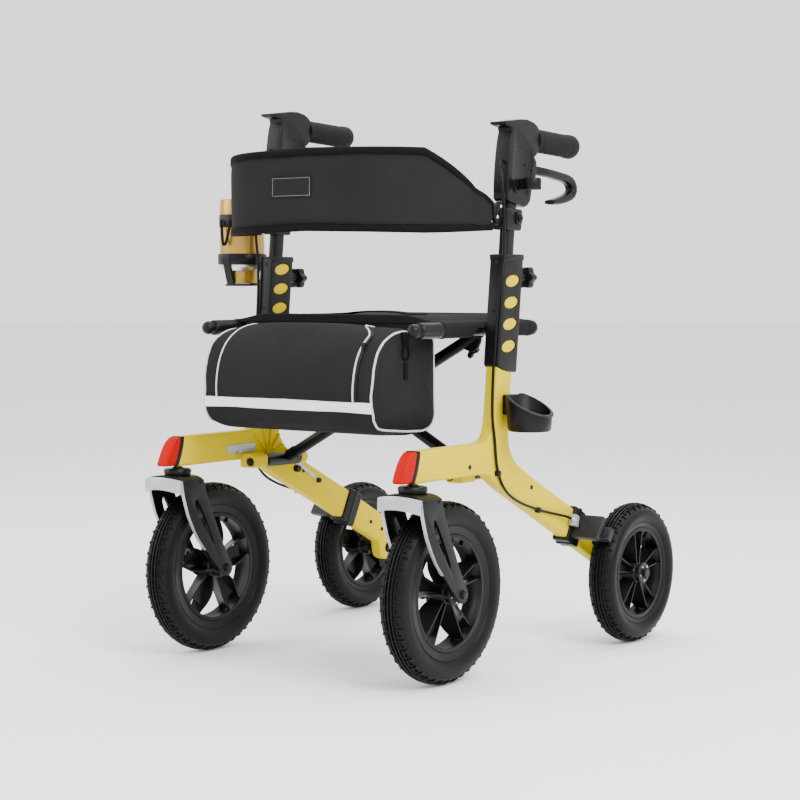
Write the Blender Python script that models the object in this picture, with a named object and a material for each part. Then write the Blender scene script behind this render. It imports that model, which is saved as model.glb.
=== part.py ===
"""Folding rollator walker with four spoked wheels, modelled as one object per sub-part.

Metres, +Z up.  The walker faces -Y, its left side is at +X, and the floor is at Z = 0.  The two side
frames are joined by an X-shaped brace whose upper ends carry the seat rails, so raising the rails
brings the side frames together.
"""
import math

import bmesh
import bpy
from mathutils import Matrix, Vector

# Driving dimensions
FRONT_RADIUS = 0.1525
REAR_RADIUS = 0.129
TYRE_HALF_WIDTH = 0.0264
HALF_WHEELBASE = 0.2638
FRAME_X = 0.258
FRAME_HALF = 0.0125
REAR_WHEEL_X = 0.3197
GAP = 0.0003
ORIGIN_SHIFT = (0.0234, 0.01175, 0.0)

# Upright: its middle line leans back, and the height tube slides along it
LEAN = 0.105
UPRIGHT_Y = -0.1015
UPRIGHT_Z = 0.449
UPRIGHT_HALF = 0.0235
TUBE_HALF_Y = 0.0135
TUBE_HALF_X = 0.009
RIGHT_LIFT = 0.040

# Cross brace and seat
PIVOT_X = 0.222
PIVOT_Z = 0.338
RAIL_X = 0.226
RAIL_Z = 0.586
RAIL_R = 0.0115
WRAP_R = 0.0138
BRACE_R = 0.011
FOOT_R = 0.012
PIN_R = 0.004
CROSS_R = 0.006
LATCH_X = 0.201
LATCH_Z = 0.5505
BRACE_Y = {1: -0.116, -1: -0.090}
CROSS_Z = PIVOT_Z + (RAIL_Z - PIVOT_Z) * PIVOT_X / (PIVOT_X + RAIL_X)

# Caster
CASTER_Y = -0.347
FORK_HALF = 0.0425
FORK_WALL = 0.006

# Rear brake: direction from the rear axle to the shoe
SHOE_ANGLE = math.radians(36)
SHOE_GAP = 0.002

YELLOW = (0.90, 0.74, 0.02)
BLACK = (0.02, 0.02, 0.022)
GREY = (0.16, 0.16, 0.17)
SILVER = (0.62, 0.63, 0.65)
FABRIC = (0.045, 0.046, 0.05)
RED = (0.70, 0.03, 0.02)
GOLD = (0.72, 0.55, 0.28)


def upright_y(z):
    """Middle line of the leaning upright at height z."""
    return UPRIGHT_Y + LEAN * (z - UPRIGHT_Z)


def clear_scene():
    """Remove whatever the file holds."""
    for item in list(bpy.data.objects):
        bpy.data.objects.remove(item, do_unlink=True)


def material(name, colour, roughness, metallic=0.0):
    """A Principled material with one plain colour."""
    made = bpy.data.materials.new(name)
    made.use_nodes = True
    shader = made.node_tree.nodes["Principled BSDF"]
    shader.inputs["Base Color"].default_value = (*colour, 1.0)
    shader.inputs["Roughness"].default_value = roughness
    shader.inputs["Metallic"].default_value = metallic
    return made


class Builder:
    """Makes objects under one root empty, which stands at the middle of the walker's footprint."""

    def __init__(self):
        self.root = bpy.data.objects.new("walker_root", None)
        bpy.context.scene.collection.objects.link(self.root)
        self.root.location = ORIGIN_SHIFT

    def place(self, name, data, at, look=None, parent=None):
        """Link one object with its origin at a point of the walker."""
        obj = bpy.data.objects.new(name, data)
        bpy.context.scene.collection.objects.link(obj)
        obj.parent = parent or self.root
        obj.location = at
        if look is not None:
            data.materials.append(material(name, *look))
        return obj

    def solid(self, name, shape, look=None, at=(0, 0, 0)):
        """Turn a bmesh in walker coordinates into an object whose origin is at a point."""
        bmesh.ops.recalc_face_normals(shape, faces=shape.faces)
        bmesh.ops.translate(shape, verts=shape.verts, vec=-Vector(at))
        mesh = bpy.data.meshes.new(name)
        shape.to_mesh(mesh)
        shape.free()
        mesh.shade_smooth()
        mesh.set_sharp_from_angle(angle=math.radians(35))
        return self.place(name, mesh, at, look)

    def helper(self, name, shape):
        """A hidden guide or cutter."""
        obj = self.solid(name, shape)
        obj.hide_render = True
        obj.display_type = "WIRE"
        return obj


def prism(outline, low, high, axis="X"):
    """Extrude a closed outline along an axis; the outline holds the other two coordinates in order."""
    shape = bmesh.new()
    order = {"X": (2, 0, 1), "Y": (0, 2, 1), "Z": (0, 1, 2)}[axis]
    low_ring = []
    high_ring = []
    for first, second in outline:
        for level, ring in ((low, low_ring), (high, high_ring)):
            source = (first, second, level)
            ring.append(shape.verts.new([source[index] for index in order]))
    shape.faces.new(low_ring)
    shape.faces.new(reversed(high_ring))
    for here in range(len(outline)):
        after = (here + 1) % len(outline)
        shape.faces.new((low_ring[here], low_ring[after], high_ring[after], high_ring[here]))
    bmesh.ops.recalc_face_normals(shape, faces=shape.faces)
    return shape


def box(low, high):
    """An axis-aligned block between two corners."""
    outline = ((low[1], low[2]), (high[1], low[2]), (high[1], high[2]), (low[1], high[2]))
    return prism(outline, low[0], high[0])


def turned(profile, centre, axis, sides):
    """Turn a closed (height, radius) profile about an axis through a point."""
    shape = bmesh.new()
    points = [shape.verts.new((radius, 0, height)) for height, radius in profile]
    edges = []
    for here, point in enumerate(points):
        after = points[(here + 1) % len(points)]
        if point.co.x > 0 or after.co.x > 0:
            edges.append(shape.edges.new((point, after)))
    bmesh.ops.spin(
        shape, geom=points + edges, cent=(0, 0, 0), axis=(0, 0, 1), angle=math.tau, steps=sides
    )
    bmesh.ops.remove_doubles(shape, verts=shape.verts, dist=1e-6)
    turn = Vector((0, 0, 1)).rotation_difference(Vector(axis)).to_matrix().to_4x4()
    bmesh.ops.transform(shape, matrix=Matrix.Translation(centre) @ turn, verts=shape.verts)
    bmesh.ops.recalc_face_normals(shape, faces=shape.faces)
    return shape


def rod(start, end, radius, sides=16):
    """A plain round bar between two points."""
    start = Vector(start)
    run = Vector(end) - start
    profile = ((0, 0), (0, radius), (run.length, radius), (run.length, 0))
    return turned(profile, start, run.normalized(), sides)


def arc(centre, radius, start, end, steps):
    """Points on an arc, with angles in degrees."""
    points = []
    for step in range(steps + 1):
        angle = math.radians(start + (end - start) * step / steps)
        points.append((centre[0] + radius * math.cos(angle), centre[1] + radius * math.sin(angle)))
    return points


def strip(points, half_widths):
    """Outline of a band with a varying half width along a bent middle line."""
    left = []
    right = []
    for index, point in enumerate(points):
        before = Vector(points[max(index - 1, 0)])
        after = Vector(points[min(index + 1, len(points) - 1)])
        along = (after - before).normalized()
        side = Vector((-along.y, along.x)) * half_widths[index]
        left.append(tuple(Vector(point) + side))
        right.append(tuple(Vector(point) - side))
    return left + right[::-1]


def bevel(obj, width, segments=2, angle=50):
    """Round the sharp edges."""
    rounded = obj.modifiers.new("rounding", "BEVEL")
    rounded.width = width
    rounded.segments = segments
    rounded.limit_method = "ANGLE"
    rounded.angle_limit = math.radians(angle)


def combine(obj, other, operation):
    """Join, cut or intersect with another object."""
    change = obj.modifiers.new(operation.lower(), "BOOLEAN")
    change.operation = operation
    change.solver = "EXACT"
    change.object = other


def smooth_route(points, spacing):
    """Points at an even spacing along a smooth curve through the route's own points."""
    knots = [Vector(point) for point in points]
    dense = []
    for index in range(len(knots) - 1):
        before = knots[max(index - 1, 0)]
        start = knots[index]
        end = knots[index + 1]
        after = knots[min(index + 2, len(knots) - 1)]
        for step in range(20):
            t = step / 20
            dense.append(
                0.5
                * (
                    2 * start
                    + (end - before) * t
                    + (2 * before - 5 * start + 4 * end - after) * t**2
                    + (3 * start - before - 3 * end + after) * t**3
                )
            )
    dense.append(knots[-1])
    total = sum((b - a).length for a, b in zip(dense, dense[1:]))
    count = max(int(total / spacing), 2)
    route = [dense[0]]
    travelled = 0.0
    for a, b in zip(dense, dense[1:]):
        travelled += (b - a).length
        if travelled >= total * len(route) / count and len(route) < count:
            route.append(b)
    route.append(dense[-1])
    return route


def flip(outline, side):
    """Mirror an outline's first coordinate for the right side."""
    return [(side * first, second) for first, second in outline]


class Side:
    """Everything that belongs to one side frame: side is +1 for the left and -1 for the right."""

    def __init__(self, build, name, side, lift):
        self.build = build
        self.name = name
        self.side = side
        self.lift = lift

    def x(self, value):
        """A distance outwards from the middle plane."""
        return self.side * value

    def label(self, part):
        return f"{self.name}_{part}"

    def span(self, inner, outer):
        """Two X values in rising order."""
        return tuple(sorted((self.x(inner), self.x(outer))))

    def slab(self, outline, inner, outer):
        """An outline in Y and Z, extruded across this side's width."""
        return prism(outline, *self.span(inner, outer))

    def side_frame(self):
        """Front arm, hollow upright and rear arm, with the lugs of the lower brace pivot."""
        top = 0.700
        front_y = upright_y(top) - UPRIGHT_HALF
        rear_y = upright_y(top) + UPRIGHT_HALF
        outline = [(-0.359, 0.341), (-0.135, 0.341), (-0.120, 0.322), (-0.109, 0.317), (0.089, 0.217)]
        outline += [(0.242, 0.140)]
        outline += arc((HALF_WHEELBASE - 0.002, REAR_RADIUS), 0.024, 200, 370, 7)
        outline += [(0.266, 0.158), (0.247, 0.197), (0.134, 0.257), (-0.038, 0.343)]
        outline += [(-0.060, 0.357), (-0.076, 0.376), (-0.081, 0.400), (UPRIGHT_Y + UPRIGHT_HALF, UPRIGHT_Z)]
        outline += [(rear_y, top), (front_y, top), (UPRIGHT_Y - UPRIGHT_HALF, UPRIGHT_Z), (-0.130, 0.420)]
        outline += [(-0.137, 0.406), (-0.150, 0.397), (-0.175, 0.394), (-0.343, 0.394)]
        name = self.label("side_frame")
        frame = self.build.solid(
            name, self.slab(outline, FRAME_X - FRAME_HALF, FRAME_X + FRAME_HALF), (YELLOW, 0.35)
        )
        bevel(frame, 0.004, 1, 40)
        for part, low, high in (("front", -0.190, -0.1503), ("rear", -0.0547, -0.036)):
            web = ((0.214, 0.327), (0.2475, 0.327), (0.2475, 0.352), (0.230, 0.352), (0.214, 0.349))
            block = prism(flip(web, self.side), low, high, "Y")
            lug = self.build.helper(f"{name}_{part}_lug", block)
            combine(frame, lug, "UNION")
        bore = rod((self.x(PIVOT_X), -0.2, PIVOT_Z), (self.x(PIVOT_X), -0.02, PIVOT_Z), PIN_R + GAP)
        combine(frame, self.build.helper(f"{name}_pin_bore", bore), "DIFFERENCE")
        stem = rod((self.x(FRAME_X), CASTER_Y, 0.3), (self.x(FRAME_X), CASTER_Y, 0.3525), 0.0063, 12)
        combine(frame, self.build.helper(f"{name}_stem_bore", stem), "DIFFERENCE")
        channel = self.slab(self.lean_box(TUBE_HALF_Y + GAP, 0.452, 0.72), *self.tube_span(GAP))
        combine(frame, self.build.helper(f"{name}_channel", channel), "DIFFERENCE")
        axle = rod(
            (self.x(0.23), HALF_WHEELBASE, REAR_RADIUS), (self.x(0.29), HALF_WHEELBASE, REAR_RADIUS),
            0.0063,
        )
        combine(frame, self.build.helper(f"{name}_axle_bore", axle), "DIFFERENCE")

    def lean_box(self, half, low, high):
        """Outline of a bar that follows the upright's middle line."""
        return [
            (upright_y(low) - half, low), (upright_y(low) + half, low),
            (upright_y(high) + half, high), (upright_y(high) - half, high),
        ]

    def tube_span(self, extra=0.0):
        """Inner and outer face of the height tube."""
        return FRAME_X - TUBE_HALF_X - extra, FRAME_X + TUBE_HALF_X + extra

    def sleeve(self):
        """Moulded cover round the upright with oval windows and the seat catch."""
        name = self.label("upright_sleeve")
        front = 0.0262
        rear = 0.0345
        outline = [
            (upright_y(0.517) - front, 0.527), (upright_y(0.516) + 0.002, 0.515),
            (upright_y(0.511) + rear, 0.511), (upright_y(0.715) + rear, 0.715),
            (upright_y(0.715) - front, 0.715),
        ]
        cover = self.build.solid(name, self.slab(outline, 0.2428, 0.2732), (BLACK, 0.5))
        bevel(cover, 0.003, 1, 40)
        catch = self.slab(arc((-0.090, 0.555), 0.007, 0, 360, 10)[:-1], 0.2335, 0.2445)
        combine(cover, self.build.helper(f"{name}_catch", catch), "UNION")
        inside = self.lean_box(UPRIGHT_HALF + GAP, 0.45, 0.73)
        hollow = self.slab(inside, FRAME_X - FRAME_HALF - GAP, FRAME_X + FRAME_HALF + GAP)
        combine(cover, self.build.helper(f"{name}_hollow", hollow), "DIFFERENCE")
        for face, span, heights in (
            ("outer", (0.268, 0.280), (0.557, 0.595, 0.632, 0.669)),
            ("inner", (0.236, 0.248), (0.582, 0.619, 0.655, 0.691)),
        ):
            for number, height in enumerate(heights):
                middle = upright_y(height) + 0.004
                oval = [
                    (middle + 0.022 * math.cos(turn), height + 0.0105 * math.sin(turn))
                    for turn in (math.tau * step / 10 for step in range(10))
                ]
                window = self.build.helper(f"{name}_{face}_window_{number}", self.slab(oval, *span))
                combine(cover, window, "DIFFERENCE")
        knob_y = upright_y(0.675)
        bore = rod((self.x(FRAME_X), knob_y + 0.02, 0.675), (self.x(FRAME_X), 0.01, 0.675), 0.0043, 12)
        combine(cover, self.build.helper(f"{name}_knob_bore", bore), "DIFFERENCE")

    def height_knob(self):
        """Star knob whose screw clamps the height tube."""
        start = upright_y(0.675) + UPRIGHT_HALF + 2 * GAP
        place = (self.x(FRAME_X), start, 0.675)
        knob = self.build.solid(
            self.label("height_knob"), rod(place, (place[0], -0.016, 0.675), 0.004, 12), (BLACK, 0.45), place
        )
        star = []
        for step in range(24):
            turn = math.tau * step / 24
            radius = 0.0185 + 0.002 * math.cos(6 * turn)
            star.append((place[0] + radius * math.cos(turn), 0.675 + radius * math.sin(turn)))
        head = prism(star, -0.019, -0.003, "Y")
        combine(knob, self.build.helper(self.label("height_knob_star"), head), "UNION")
        bevel(knob, 0.0015, 1, 60)

    def handle_tube(self):
        """Height tube that slides in the upright and carries the handle."""
        low = 0.500 + self.lift
        high = 0.828 + self.lift
        outline = self.lean_box(TUBE_HALF_Y, low, high)
        tube = self.build.solid(
            self.label("handle_tube"), self.slab(outline, *self.tube_span()), (BLACK, 0.4),
            (self.x(FRAME_X), upright_y(low), low),
        )
        bevel(tube, 0.002, 1)

    def backrest_collar(self):
        """Clamp on the height tube with the round plate that the backrest is riveted to."""
        name = self.label("backrest_collar")
        outline = [(-0.094, 0.757), (-0.046, 0.755), (-0.042, 0.792), (-0.090, 0.795)]
        collar = self.build.solid(name, self.slab(outline, 0.2435, 0.2725), (BLACK, 0.45))
        bevel(collar, 0.003, 2)
        plate = self.slab(arc((-0.097, 0.784), 0.020, 0, 360, 24)[:-1], 0.2545, 0.2625)
        combine(collar, self.build.helper(f"{name}_plate", plate), "UNION")
        hollow = self.slab(self.lean_box(TUBE_HALF_Y + GAP, 0.73, 0.82), *self.tube_span(GAP))
        combine(collar, self.build.helper(f"{name}_hollow", hollow), "DIFFERENCE")

    def raised(self, outline):
        """Move an outline to the height that this side's handle is set to."""
        return [(y + LEAN * self.lift, z + self.lift) for y, z in outline]

    def handle_housing(self):
        """Hood over the top of the tube, with its forward beak and the slot of the brake lever."""
        name = self.label("handle_housing")
        outline = self.raised([
            (-0.099, 0.9395), (-0.098, 0.934), (-0.076, 0.930), (-0.080, 0.915), (-0.084, 0.901),
            (-0.090, 0.858), (-0.092, 0.811), (-0.084, 0.805), (-0.038, 0.796), (-0.018, 0.808),
            (-0.012, 0.836), (0.000, 0.847), (0.003, 0.876), (-0.005, 0.884), (0.003, 0.889),
            (0.0095, 0.894), (0.0095, 0.934), (-0.004, 0.943), (-0.028, 0.948), (-0.070, 0.944),
        ])
        hood = self.build.solid(name, self.slab(outline, 0.2430, 0.2730), (BLACK, 0.45))
        bevel(hood, 0.004, 1, 35)
        socket = self.lean_box(TUBE_HALF_Y + GAP, 0.77 + self.lift, 0.8285 + self.lift)
        hollow = self.slab(socket, *self.tube_span(GAP))
        combine(hood, self.build.helper(f"{name}_socket", hollow), "DIFFERENCE")
        slot = self.raised([(-0.028, 0.840), (0.030, 0.840), (0.030, 0.8835), (-0.028, 0.8835)])
        slot_cut = self.slab(slot, FRAME_X - 0.0063, FRAME_X + 0.0063)
        combine(hood, self.build.helper(f"{name}_lever_slot", slot_cut), "DIFFERENCE")

    def hand_grip(self):
        """Round grip on its stub behind the hood."""
        start = Vector((self.x(FRAME_X), 0.0106 + LEAN * self.lift, 0.915 + self.lift))
        run = Vector((0, 0.148, -0.006)).normalized()
        profile = [(0, 0), (0, 0.018), (0.002, 0.0200), (0.109, 0.0205), (0.115, 0.0215)]
        profile += [(0.124, 0.0215), (0.131, 0.016), (0.131, 0)]
        grip = turned(profile, start, run, 16)
        self.build.solid(self.label("hand_grip"), grip, (GREY, 0.7), start)

    def brake_lever(self):
        """Looped lever under the grip, hinged in the hood."""
        name = self.label("brake_lever")
        line = self.raised([
            (-0.010, 0.862), (0.004, 0.863), (0.040, 0.861), (0.085, 0.857), (0.118, 0.853),
            (0.136, 0.846), (0.142, 0.835), (0.135, 0.823), (0.112, 0.815), (0.088, 0.811), (0.068, 0.809),
        ])
        widths = [0.009, 0.008, 0.0075, 0.0075, 0.0075, 0.008, 0.0085, 0.008, 0.007, 0.006, 0.004]
        place = self.raised([(-0.010, 0.862)])[0]
        at = (self.x(FRAME_X), place[0], place[1])
        lever = self.build.solid(
            name, self.slab(strip(line[2:], widths[2:]), FRAME_X - 0.009, FRAME_X + 0.009), (BLACK, 0.4), at
        )
        bevel(lever, 0.003, 1, 60)
        root = self.slab(strip(line[:4], widths[:4]), FRAME_X - 0.0055, FRAME_X + 0.0055)
        combine(lever, self.build.helper(f"{name}_root", root), "UNION")

    def brake_cable(self):
        """Cable from the front of the hood down to the rear brake, along its whole route."""
        rise = self.lift
        lean = LEAN * rise
        route = [
            (0.2605, -0.0905 + lean, 0.8755 + rise), (0.265, -0.101 + lean, 0.866 + rise),
            (0.271, -0.1065 + lean, 0.846 + rise), (0.2755, -0.1085, 0.815 + 0.3 * rise),
            (0.2768, -0.109, 0.785), (0.2765, -0.108, 0.745), (0.2745, -0.1055, 0.712),
            (0.2715, -0.1085, 0.680), (0.2690, -0.1125, 0.637), (0.2675, -0.1205, 0.560),
            (0.2675, -0.1262, 0.510), (0.2685, -0.1300, 0.465), (0.2715, -0.1335, 0.430),
            (0.2745, -0.1315, 0.400), (0.2745, -0.1250, 0.356), (0.2745, -0.1110, 0.325),
            (0.2745, -0.0880, 0.302), (0.2745, -0.0560, 0.286), (0.2745, -0.0200, 0.274),
            (0.2745, 0.0250, 0.262), (0.2755, 0.0700, 0.252), (0.2785, 0.0960, 0.2460),
            (0.2825, 0.1095, 0.2405),
        ]
        curve = bpy.data.curves.new(self.label("brake_cable"), "CURVE")
        curve.dimensions = "3D"
        curve.bevel_depth = 0.0025
        curve.bevel_resolution = 2
        curve.use_fill_caps = True
        points = smooth_route([(self.x(x), y, z) for x, y, z in route], 0.0155)
        line = curve.splines.new("POLY")
        line.points.add(len(points) - 1)
        for target, point in zip(line.points, points):
            target.co = (*point, 1.0)
        self.build.place(self.label("brake_cable"), curve, (0, 0, 0), (BLACK, 0.5))

    def reflector(self):
        """Red reflector on the slanted end of the front arm."""
        outline = [(-0.3890, 0.3460), (-0.3860, 0.3425), (-0.3605, 0.3425)]
        outline += [(-0.3450, 0.3925), (-0.3555, 0.3925), (-0.3640, 0.3870), (-0.3765, 0.3690)]
        lens = self.build.solid(
            self.label("front_reflector"), self.slab(outline, 0.2460, 0.2700), (RED, 0.25)
        )
        bevel(lens, 0.002, 1)

    def caster(self):
        """Steering stem, fork with slotted legs, front trim and axle."""
        x = self.x(FRAME_X)
        steer = (x, CASTER_Y, 0.0)
        profile = [(0.3258, 0), (0.3258, 0.022), (0.3285, 0.0245), (0.3345, 0.0245), (0.3365, 0.022)]
        profile += [(0.3365, 0.006), (0.352, 0.006), (0.352, 0)]
        stem = turned(profile, steer, (0, 0, 1), 20)
        self.build.solid(self.label("caster_stem"), stem, (BLACK, 0.45), steer)

        axle = (-HALF_WHEELBASE, FRONT_RADIUS)
        outline = [(-0.3800, 0.3255), (-0.3745, 0.290), (-0.364, 0.258), (-0.338, 0.213), (-0.303, 0.171)]
        outline += arc(axle, 0.015, 225, 380, 6)
        outline += [(-0.258, 0.171), (-0.275, 0.200), (-0.295, 0.243), (-0.315, 0.288), (-0.326, 0.3255)]
        name = self.label("caster_fork")
        fork = self.build.solid(
            name, self.slab(outline, FRAME_X - FORK_HALF, FRAME_X + FORK_HALF), (BLACK, 0.45), steer
        )
        bevel(fork, 0.003, 1, 40)
        inner = FORK_HALF - FORK_WALL
        space = [(-0.42, 0.10), (-0.22, 0.10), (-0.22, 0.3085), (-0.42, 0.3085)]
        middle = self.slab(space, FRAME_X - inner, FRAME_X + inner)
        combine(fork, self.build.helper(f"{name}_wheel_space", middle), "DIFFERENCE")
        slot = strip([(-0.343, 0.279), (-0.338, 0.268), (-0.322, 0.240), (-0.300, 0.203)],
                     [0.004, 0.0065, 0.0055, 0.002])
        wide = self.slab(slot, FRAME_X - 0.06, FRAME_X + 0.06)
        combine(fork, self.build.helper(f"{name}_slot", wide), "DIFFERENCE")
        bore = rod((x - 0.06, *axle), (x + 0.06, *axle), 0.0053, 12)
        combine(fork, self.build.helper(f"{name}_axle_bore", bore), "DIFFERENCE")

        trim = []
        for inset, sweep in ((0.0, 1), (0.004, -1)):
            for step in range(-4, 5):
                share = sweep * step / 4
                trim.append((x + share * (FORK_HALF - 0.001), -0.3807 - inset - 0.006 * (1 - share * share)))
        front = self.build.solid(
            self.label("fork_bumper"), prism(trim, 0.3000, 0.3225, "Z"), (SILVER, 0.35), steer
        )
        bevel(front, 0.001, 1, 60)

        reach = FORK_HALF + GAP
        bolt = [(-reach - 0.004, 0), (-reach - 0.004, 0.007), (-reach, 0.009), (-reach, 0.005)]
        bolt += [(reach, 0.005), (reach, 0.009), (reach + 0.004, 0.007), (reach + 0.004, 0)]
        bar = turned(bolt, (x, *axle), (1, 0, 0), 16)
        self.build.solid(self.label("front_axle"), bar, (SILVER, 0.3, 1.0), (x, *axle))

    def wheel(self, part, centre, radius, bead, opening, bore, hub_half):
        """Tyre and its rim with five twin spokes."""
        half = TYRE_HALF_WIDTH
        profile = [(-0.72 * half, bead), (-half, bead + 0.30 * (radius - bead))]
        profile += [(-half, bead + 0.62 * (radius - bead))]
        profile += [(-0.74 * half, radius - 0.004), (-0.35 * half, radius)]
        profile += [(-height, distance) for height, distance in reversed(profile)]
        tyre = turned(profile, centre, (1, 0, 0), 36)
        self.build.solid(self.label(f"{part}_tyre"), tyre, (BLACK, 0.8), centre)

        seat = bead - GAP
        width = 0.72 * half
        ring = [(-width, seat), (-width, opening), (width, opening), (width, seat)]
        name = self.label(f"{part}_rim")
        rim = self.build.solid(name, turned(ring, centre, (1, 0, 0), 36), (BLACK, 0.4), centre)
        reach = Vector((hub_half, 0, 0))
        barrel = rod(Vector(centre) - reach, Vector(centre) + reach, 0.018, 14)
        hub = self.build.helper(f"{name}_hub", barrel)
        spokes = bmesh.new()
        for pair in range(5):
            for lean in (-1, 1):
                angle = math.tau * (pair / 5 + 0.25)
                start = Vector((0.012, lean * 0.0045))
                end = Vector((opening + 0.003, lean * (0.16 * opening)))
                outline = strip([tuple(start), tuple(end)], [0.0028, 0.0032])
                turn = Matrix.Rotation(angle, 2)
                points = [turn @ Vector(point) for point in outline]
                bar = prism([(centre[1] + p.x, centre[2] + p.y) for p in points],
                            centre[0] - 0.010, centre[0] + 0.010)
                mesh = bpy.data.meshes.new("spoke")
                bar.to_mesh(mesh)
                bar.free()
                spokes.from_mesh(mesh)
                bpy.data.meshes.remove(mesh)
        combine(hub, self.build.helper(f"{name}_spokes", spokes), "UNION")
        hub.modifiers[-1].use_self = True
        combine(rim, hub, "UNION")
        hole = rod((centre[0] - 0.07, *centre[1:]), (centre[0] + 0.07, *centre[1:]), bore, 12)
        combine(rim, self.build.helper(f"{name}_bore", hole), "DIFFERENCE")

    def rear_axle(self):
        """Stub axle through the end of the rear arm and out through the wheel."""
        inner = FRAME_X - FRAME_HALF - GAP
        outer = REAR_WHEEL_X + 0.0305
        bolt = [(inner - 0.004, 0), (inner - 0.004, 0.008), (inner, 0.010), (inner, 0.006)]
        bolt += [(FRAME_X + FRAME_HALF + GAP, 0.006), (FRAME_X + FRAME_HALF + GAP, 0.011)]
        bolt += [(REAR_WHEEL_X - 0.0305, 0.011), (REAR_WHEEL_X - 0.0305, 0.006)]
        bolt += [(outer, 0.006), (outer, 0.010), (outer + 0.003, 0.008), (outer + 0.003, 0)]
        place = (0, HALF_WHEELBASE, REAR_RADIUS)
        bar = turned(bolt, place, (self.side, 0, 0), 16)
        at = (self.x(REAR_WHEEL_X), HALF_WHEELBASE, REAR_RADIUS)
        self.build.solid(self.label("rear_axle"), bar, (SILVER, 0.3, 1.0), at)

    def brake_frame(self, radius_low, radius_high, half):
        """Outline of a block across the line from the rear axle to the brake shoe."""
        along = Vector((-math.cos(SHOE_ANGLE), math.sin(SHOE_ANGLE)))
        across = Vector((-along.y, along.x))
        middle = Vector((HALF_WHEELBASE, REAR_RADIUS))
        return [
            tuple(middle + along * radius + across * offset)
            for radius, offset in (
                (radius_low, -half), (radius_high, -half), (radius_high, half), (radius_low, half)
            )
        ]

    def brake_housing(self):
        """Clamp round the rear arm with the plate that reaches over the rear tyre."""
        name = self.label("brake_housing")
        slope = Vector((0.153, -0.077)).normalized()
        normal = Vector((-slope.y, slope.x))
        middle = Vector((0.140, 0.2225))

        def block(half_long, half_high):
            return [
                tuple(middle + slope * a * half_long + normal * b * half_high)
                for a, b in ((-1, -1), (1, -1), (1, 1), (-1, 1))
            ]

        clamp = self.build.solid(name, self.slab(block(0.020, 0.0335), 0.2412, 0.2748), (BLACK, 0.5))
        bevel(clamp, 0.003, 1)
        plate = self.slab(self.brake_frame(0.1505, 0.1665, 0.023), 0.2720, 0.3300)
        combine(clamp, self.build.helper(f"{name}_plate", plate), "UNION")
        hollow = self.slab(block(0.060, 0.0290), FRAME_X - FRAME_HALF - GAP, FRAME_X + FRAME_HALF + GAP)
        combine(clamp, self.build.helper(f"{name}_hollow", hollow), "DIFFERENCE")

    def brake_shoe(self):
        """Pressed against the rear tyre by the cable."""
        face = REAR_RADIUS + SHOE_GAP
        outline = self.brake_frame(face + 0.0006, face + 0.0160, 0.012)
        shoe = self.build.solid(
            self.label("brake_shoe"), self.slab(outline, 0.2990, 0.3400), (GREY, 0.6),
            (self.x(REAR_WHEEL_X), *outline[0]),
        )
        bevel(shoe, 0.001, 1)

    def brace(self):
        """Brace arm from this side's lower pivot to the other side's seat rail."""
        name = f"cross_brace_{self.name}_foot"
        y = BRACE_Y[self.side]
        foot = (self.x(PIVOT_X), 0, PIVOT_Z)
        top = Vector((-self.x(RAIL_X), y, RAIL_Z))
        arm = self.build.solid(
            name, rod((foot[0], y, foot[2]), top, BRACE_R, 16), (BLACK, 0.4), (foot[0], y, foot[2])
        )
        sleeve = rod((foot[0], -0.150, foot[2]), (foot[0], -0.055, foot[2]), FOOT_R, 16)
        combine(arm, self.build.helper(f"{name}_sleeve", sleeve), "UNION")
        web = [(0.172, 0.562), (0.186, 0.549), (0.201, 0.5455), (0.212, 0.552)]
        web += [(0.218, 0.564), (0.218, 0.574), (0.205, 0.576)]
        gusset = prism(flip(web, -self.side), y - 0.003, y + 0.003, "Y")
        combine(arm, self.build.helper(f"{name}_gusset", gusset), "UNION")
        hinge = Vector((-self.x(LATCH_X), y, LATCH_Z))
        stub = rod(hinge, hinge + Vector((0, 0.011, 0)), 0.003, 12)
        combine(arm, self.build.helper(f"{name}_latch_stub", stub), "UNION")
        bore = rod((foot[0], -0.2, foot[2]), (foot[0], 0.0, foot[2]), PIN_R + GAP)
        combine(arm, self.build.helper(f"{name}_pin_bore", bore), "DIFFERENCE")
        rail = rod((top.x, -0.3, RAIL_Z), (top.x, 0.1, RAIL_Z), RAIL_R + GAP, 20)
        combine(arm, self.build.helper(f"{name}_rail_saddle", rail), "DIFFERENCE")
        low = (min(top.x, 0) - 0.03, y - 0.02, RAIL_Z + 0.001)
        flat = box(low, (max(top.x, 0) + 0.03, y + 0.02, RAIL_Z + 0.03))
        combine(arm, self.build.helper(f"{name}_flat", flat), "DIFFERENCE")
        cross = rod((0, -0.2, CROSS_Z), (0, 0.0, CROSS_Z), CROSS_R + GAP, 16)
        combine(arm, self.build.helper(f"{name}_cross_bore", cross), "DIFFERENCE")

    def hinge_pin(self):
        """Pin of the lower brace pivot."""
        x = self.x(PIVOT_X)
        profile = [(-0.1945, 0), (-0.1945, 0.006), (-0.1903, 0.008), (-0.1903, PIN_R)]
        profile += [(-0.0357, PIN_R), (-0.0357, 0.008), (-0.0320, 0.006), (-0.0320, 0)]
        pin = turned(profile, (x, 0, PIVOT_Z), (0, 1, 0), 16)
        self.build.solid(self.label("hinge_pin"), pin, (SILVER, 0.3, 1.0), (x, -0.1, PIVOT_Z))

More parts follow.
